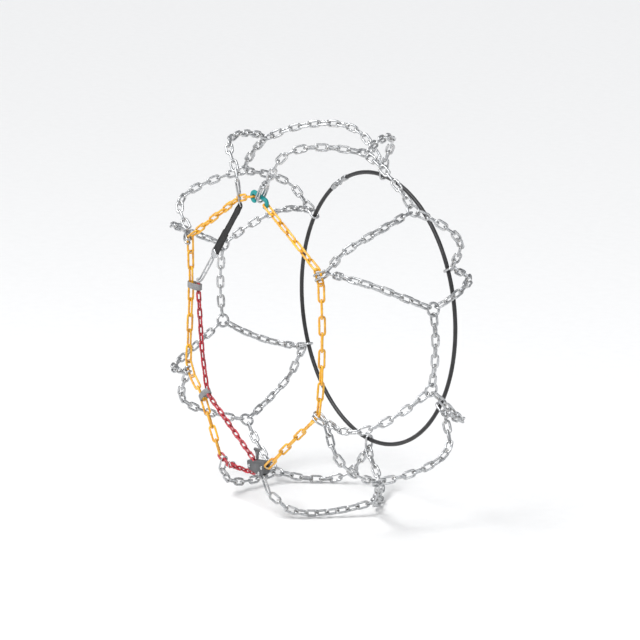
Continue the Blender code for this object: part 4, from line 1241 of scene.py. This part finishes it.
def knob():
    """Flared T knob: tongue, waisted stem, and a wide ridged cap."""
    verts = []
    for z, half_x, half_y in KNOB_ROWS:
        lean = KNOB_LEAN * max(0, z - KNOB_STEM) / (KNOB_ROWS[-1][0] - KNOB_STEM)
        for a, b in rounded_box(2 * half_x, 2 * half_y, min(half_x, half_y) * KNOB_ROUND, 4):
            verts.append(tensioner_at((KNOB_X + a - lean, z), KNOB_Y + b))
    shape = Shape()
    shape.add(verts, tube_faces(len(KNOB_ROWS), len(verts) // len(KNOB_ROWS), -1))
    for i in range(KNOB_RIDGES):
        x = KNOB_X - FIRST_RIDGE + RIDGE_PITCH * i
        ridge = [tensioner_at((x, z), KNOB_Y - proud) for z, proud in RIDGE_LINE]
        wire(shape, curve_through(ridge, per=3), RIDGE_WIRE, sides=6)
    piece("knob_handle", shape, "knob", CAP_GREY, ["release_knob"], flat=45)


def tensioner_hook():
    """Loop of wire whose two ends spread and meet, with a short bar across it."""
    foot, head = street(TENSIONER_HOOK_FOOT, CHAIN_Y), street(TENSIONER_HOOK_HEAD, CHAIN_Y + 0.001)
    _, across = axes(foot, head)
    shape = Shape()
    wire(shape, spindle(foot, head, across, TENSIONER_HOOK_WIDTHS), LOOP_WIRE, closed=True, tone=0.8)
    crossbar(shape, foot.lerp(head, BAR_AT), across, BAR_HALF, BAR_WIRE, tone=0.6)
    steel_piece("tensioner_loop", shape, ["tensioner_hook"])


def kept_nodes():
    """CAD nodes whose shape is right get the same materials as the rest."""
    kept = {
        "chain_wheel": ZINC_DARK, "locking_pawl": ZINC_DARK, "pawl_spring": ZINC_DARK,
        "tensioner_back_plate": GREY,
    }
    for node, material in kept.items():
        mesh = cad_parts[node].data
        mesh.materials.clear()
        mesh.materials.append(material)


tread_rings()
outer_arms()
inner_arms()
centre_runs()
for corner_number, (holding, grip_size) in side_runs().items():
    connector(corner_number, holding, grip_size)
tension_run()
closing_hook()
closing_bow()
left_hook()
low_link()
strap()
strap_hook()
guides()
hoop()
cover()
rivets()
knob()
tensioner_hook()
kept_nodes()


# Floor, light and world


def stage_floor():
    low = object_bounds()[0][2]
    bpy.ops.mesh.primitive_plane_add(size=60, location=(0, 0, low))
    floor = bpy.context.object
    floor.name = "floor"
    paint = Paint("floor_paint")
    tints = [(0.3, (0.845, 0.845, 0.845)), (0.7, (0.865, 0.865, 0.865))]
    paint.set("Base Color", paint.ramp(paint.noise(40, 5), tints))
    paint.set("Roughness", 0.85)
    floor.data.materials.append(paint.material)


def add_light(data, direction, location=(0, 0, 0)):
    light = bpy.data.objects.new(data.name, data)
    light.location = location
    light.rotation_euler = Vector(direction).to_track_quat("-Z", "Y").to_euler()
    bpy.context.scene.collection.objects.link(light)


def area_light(name, location, size, power):
    """Lamp that shines at the wheel's centre."""
    data = bpy.data.lights.new(name, "AREA")
    data.shape = "RECTANGLE"
    data.size, data.size_y = size
    data.energy = power
    add_light(data, -Vector(location), location)


def sun(name, direction, strength, angle):
    data = bpy.data.lights.new(name, "SUN")
    data.energy = strength
    data.angle = math.radians(angle)
    add_light(data, direction)


def lighting():
    """Soft daylight from above, a key from the street side, and a dark band of world for the metal."""
    sun("overhead", (0.25, 0.55, -1.0), 1.9, 28)
    area_light("key", (0.4, -2.6, 2.2), (1.2, 1.2), 38)
    area_light("side", (3.0, 0.3, 1.9), (0.8, 1.6), 22)
    world = bpy.data.worlds.new("studio")
    bpy.context.scene.world = world
    world.use_nodes = True
    nodes = Nodes(world.node_tree)
    place = nodes.add("TexCoord").outputs["Generated"]
    height = nodes.spread(nodes.add("SeparateXYZ", Vector=place).outputs["Z"], -0.1, 1.0, 0, 1)
    sky = nodes.ramp(height, [
        (0.20, (1.0, 1.0, 1.0)), (0.24, (0.12, 0.12, 0.13)), (0.38, (0.16, 0.165, 0.175)),
        (0.60, (0.62, 0.64, 0.67)), (1.0, (1.0, 1.0, 1.0)),
    ])
    background = nodes.tree.nodes["Background"]
    nodes.put(background.inputs["Color"], sky)
    nodes.put(background.inputs["Strength"], 0.75)
    bpy.context.scene.view_settings.view_transform = "Standard"


stage_floor()
lighting()
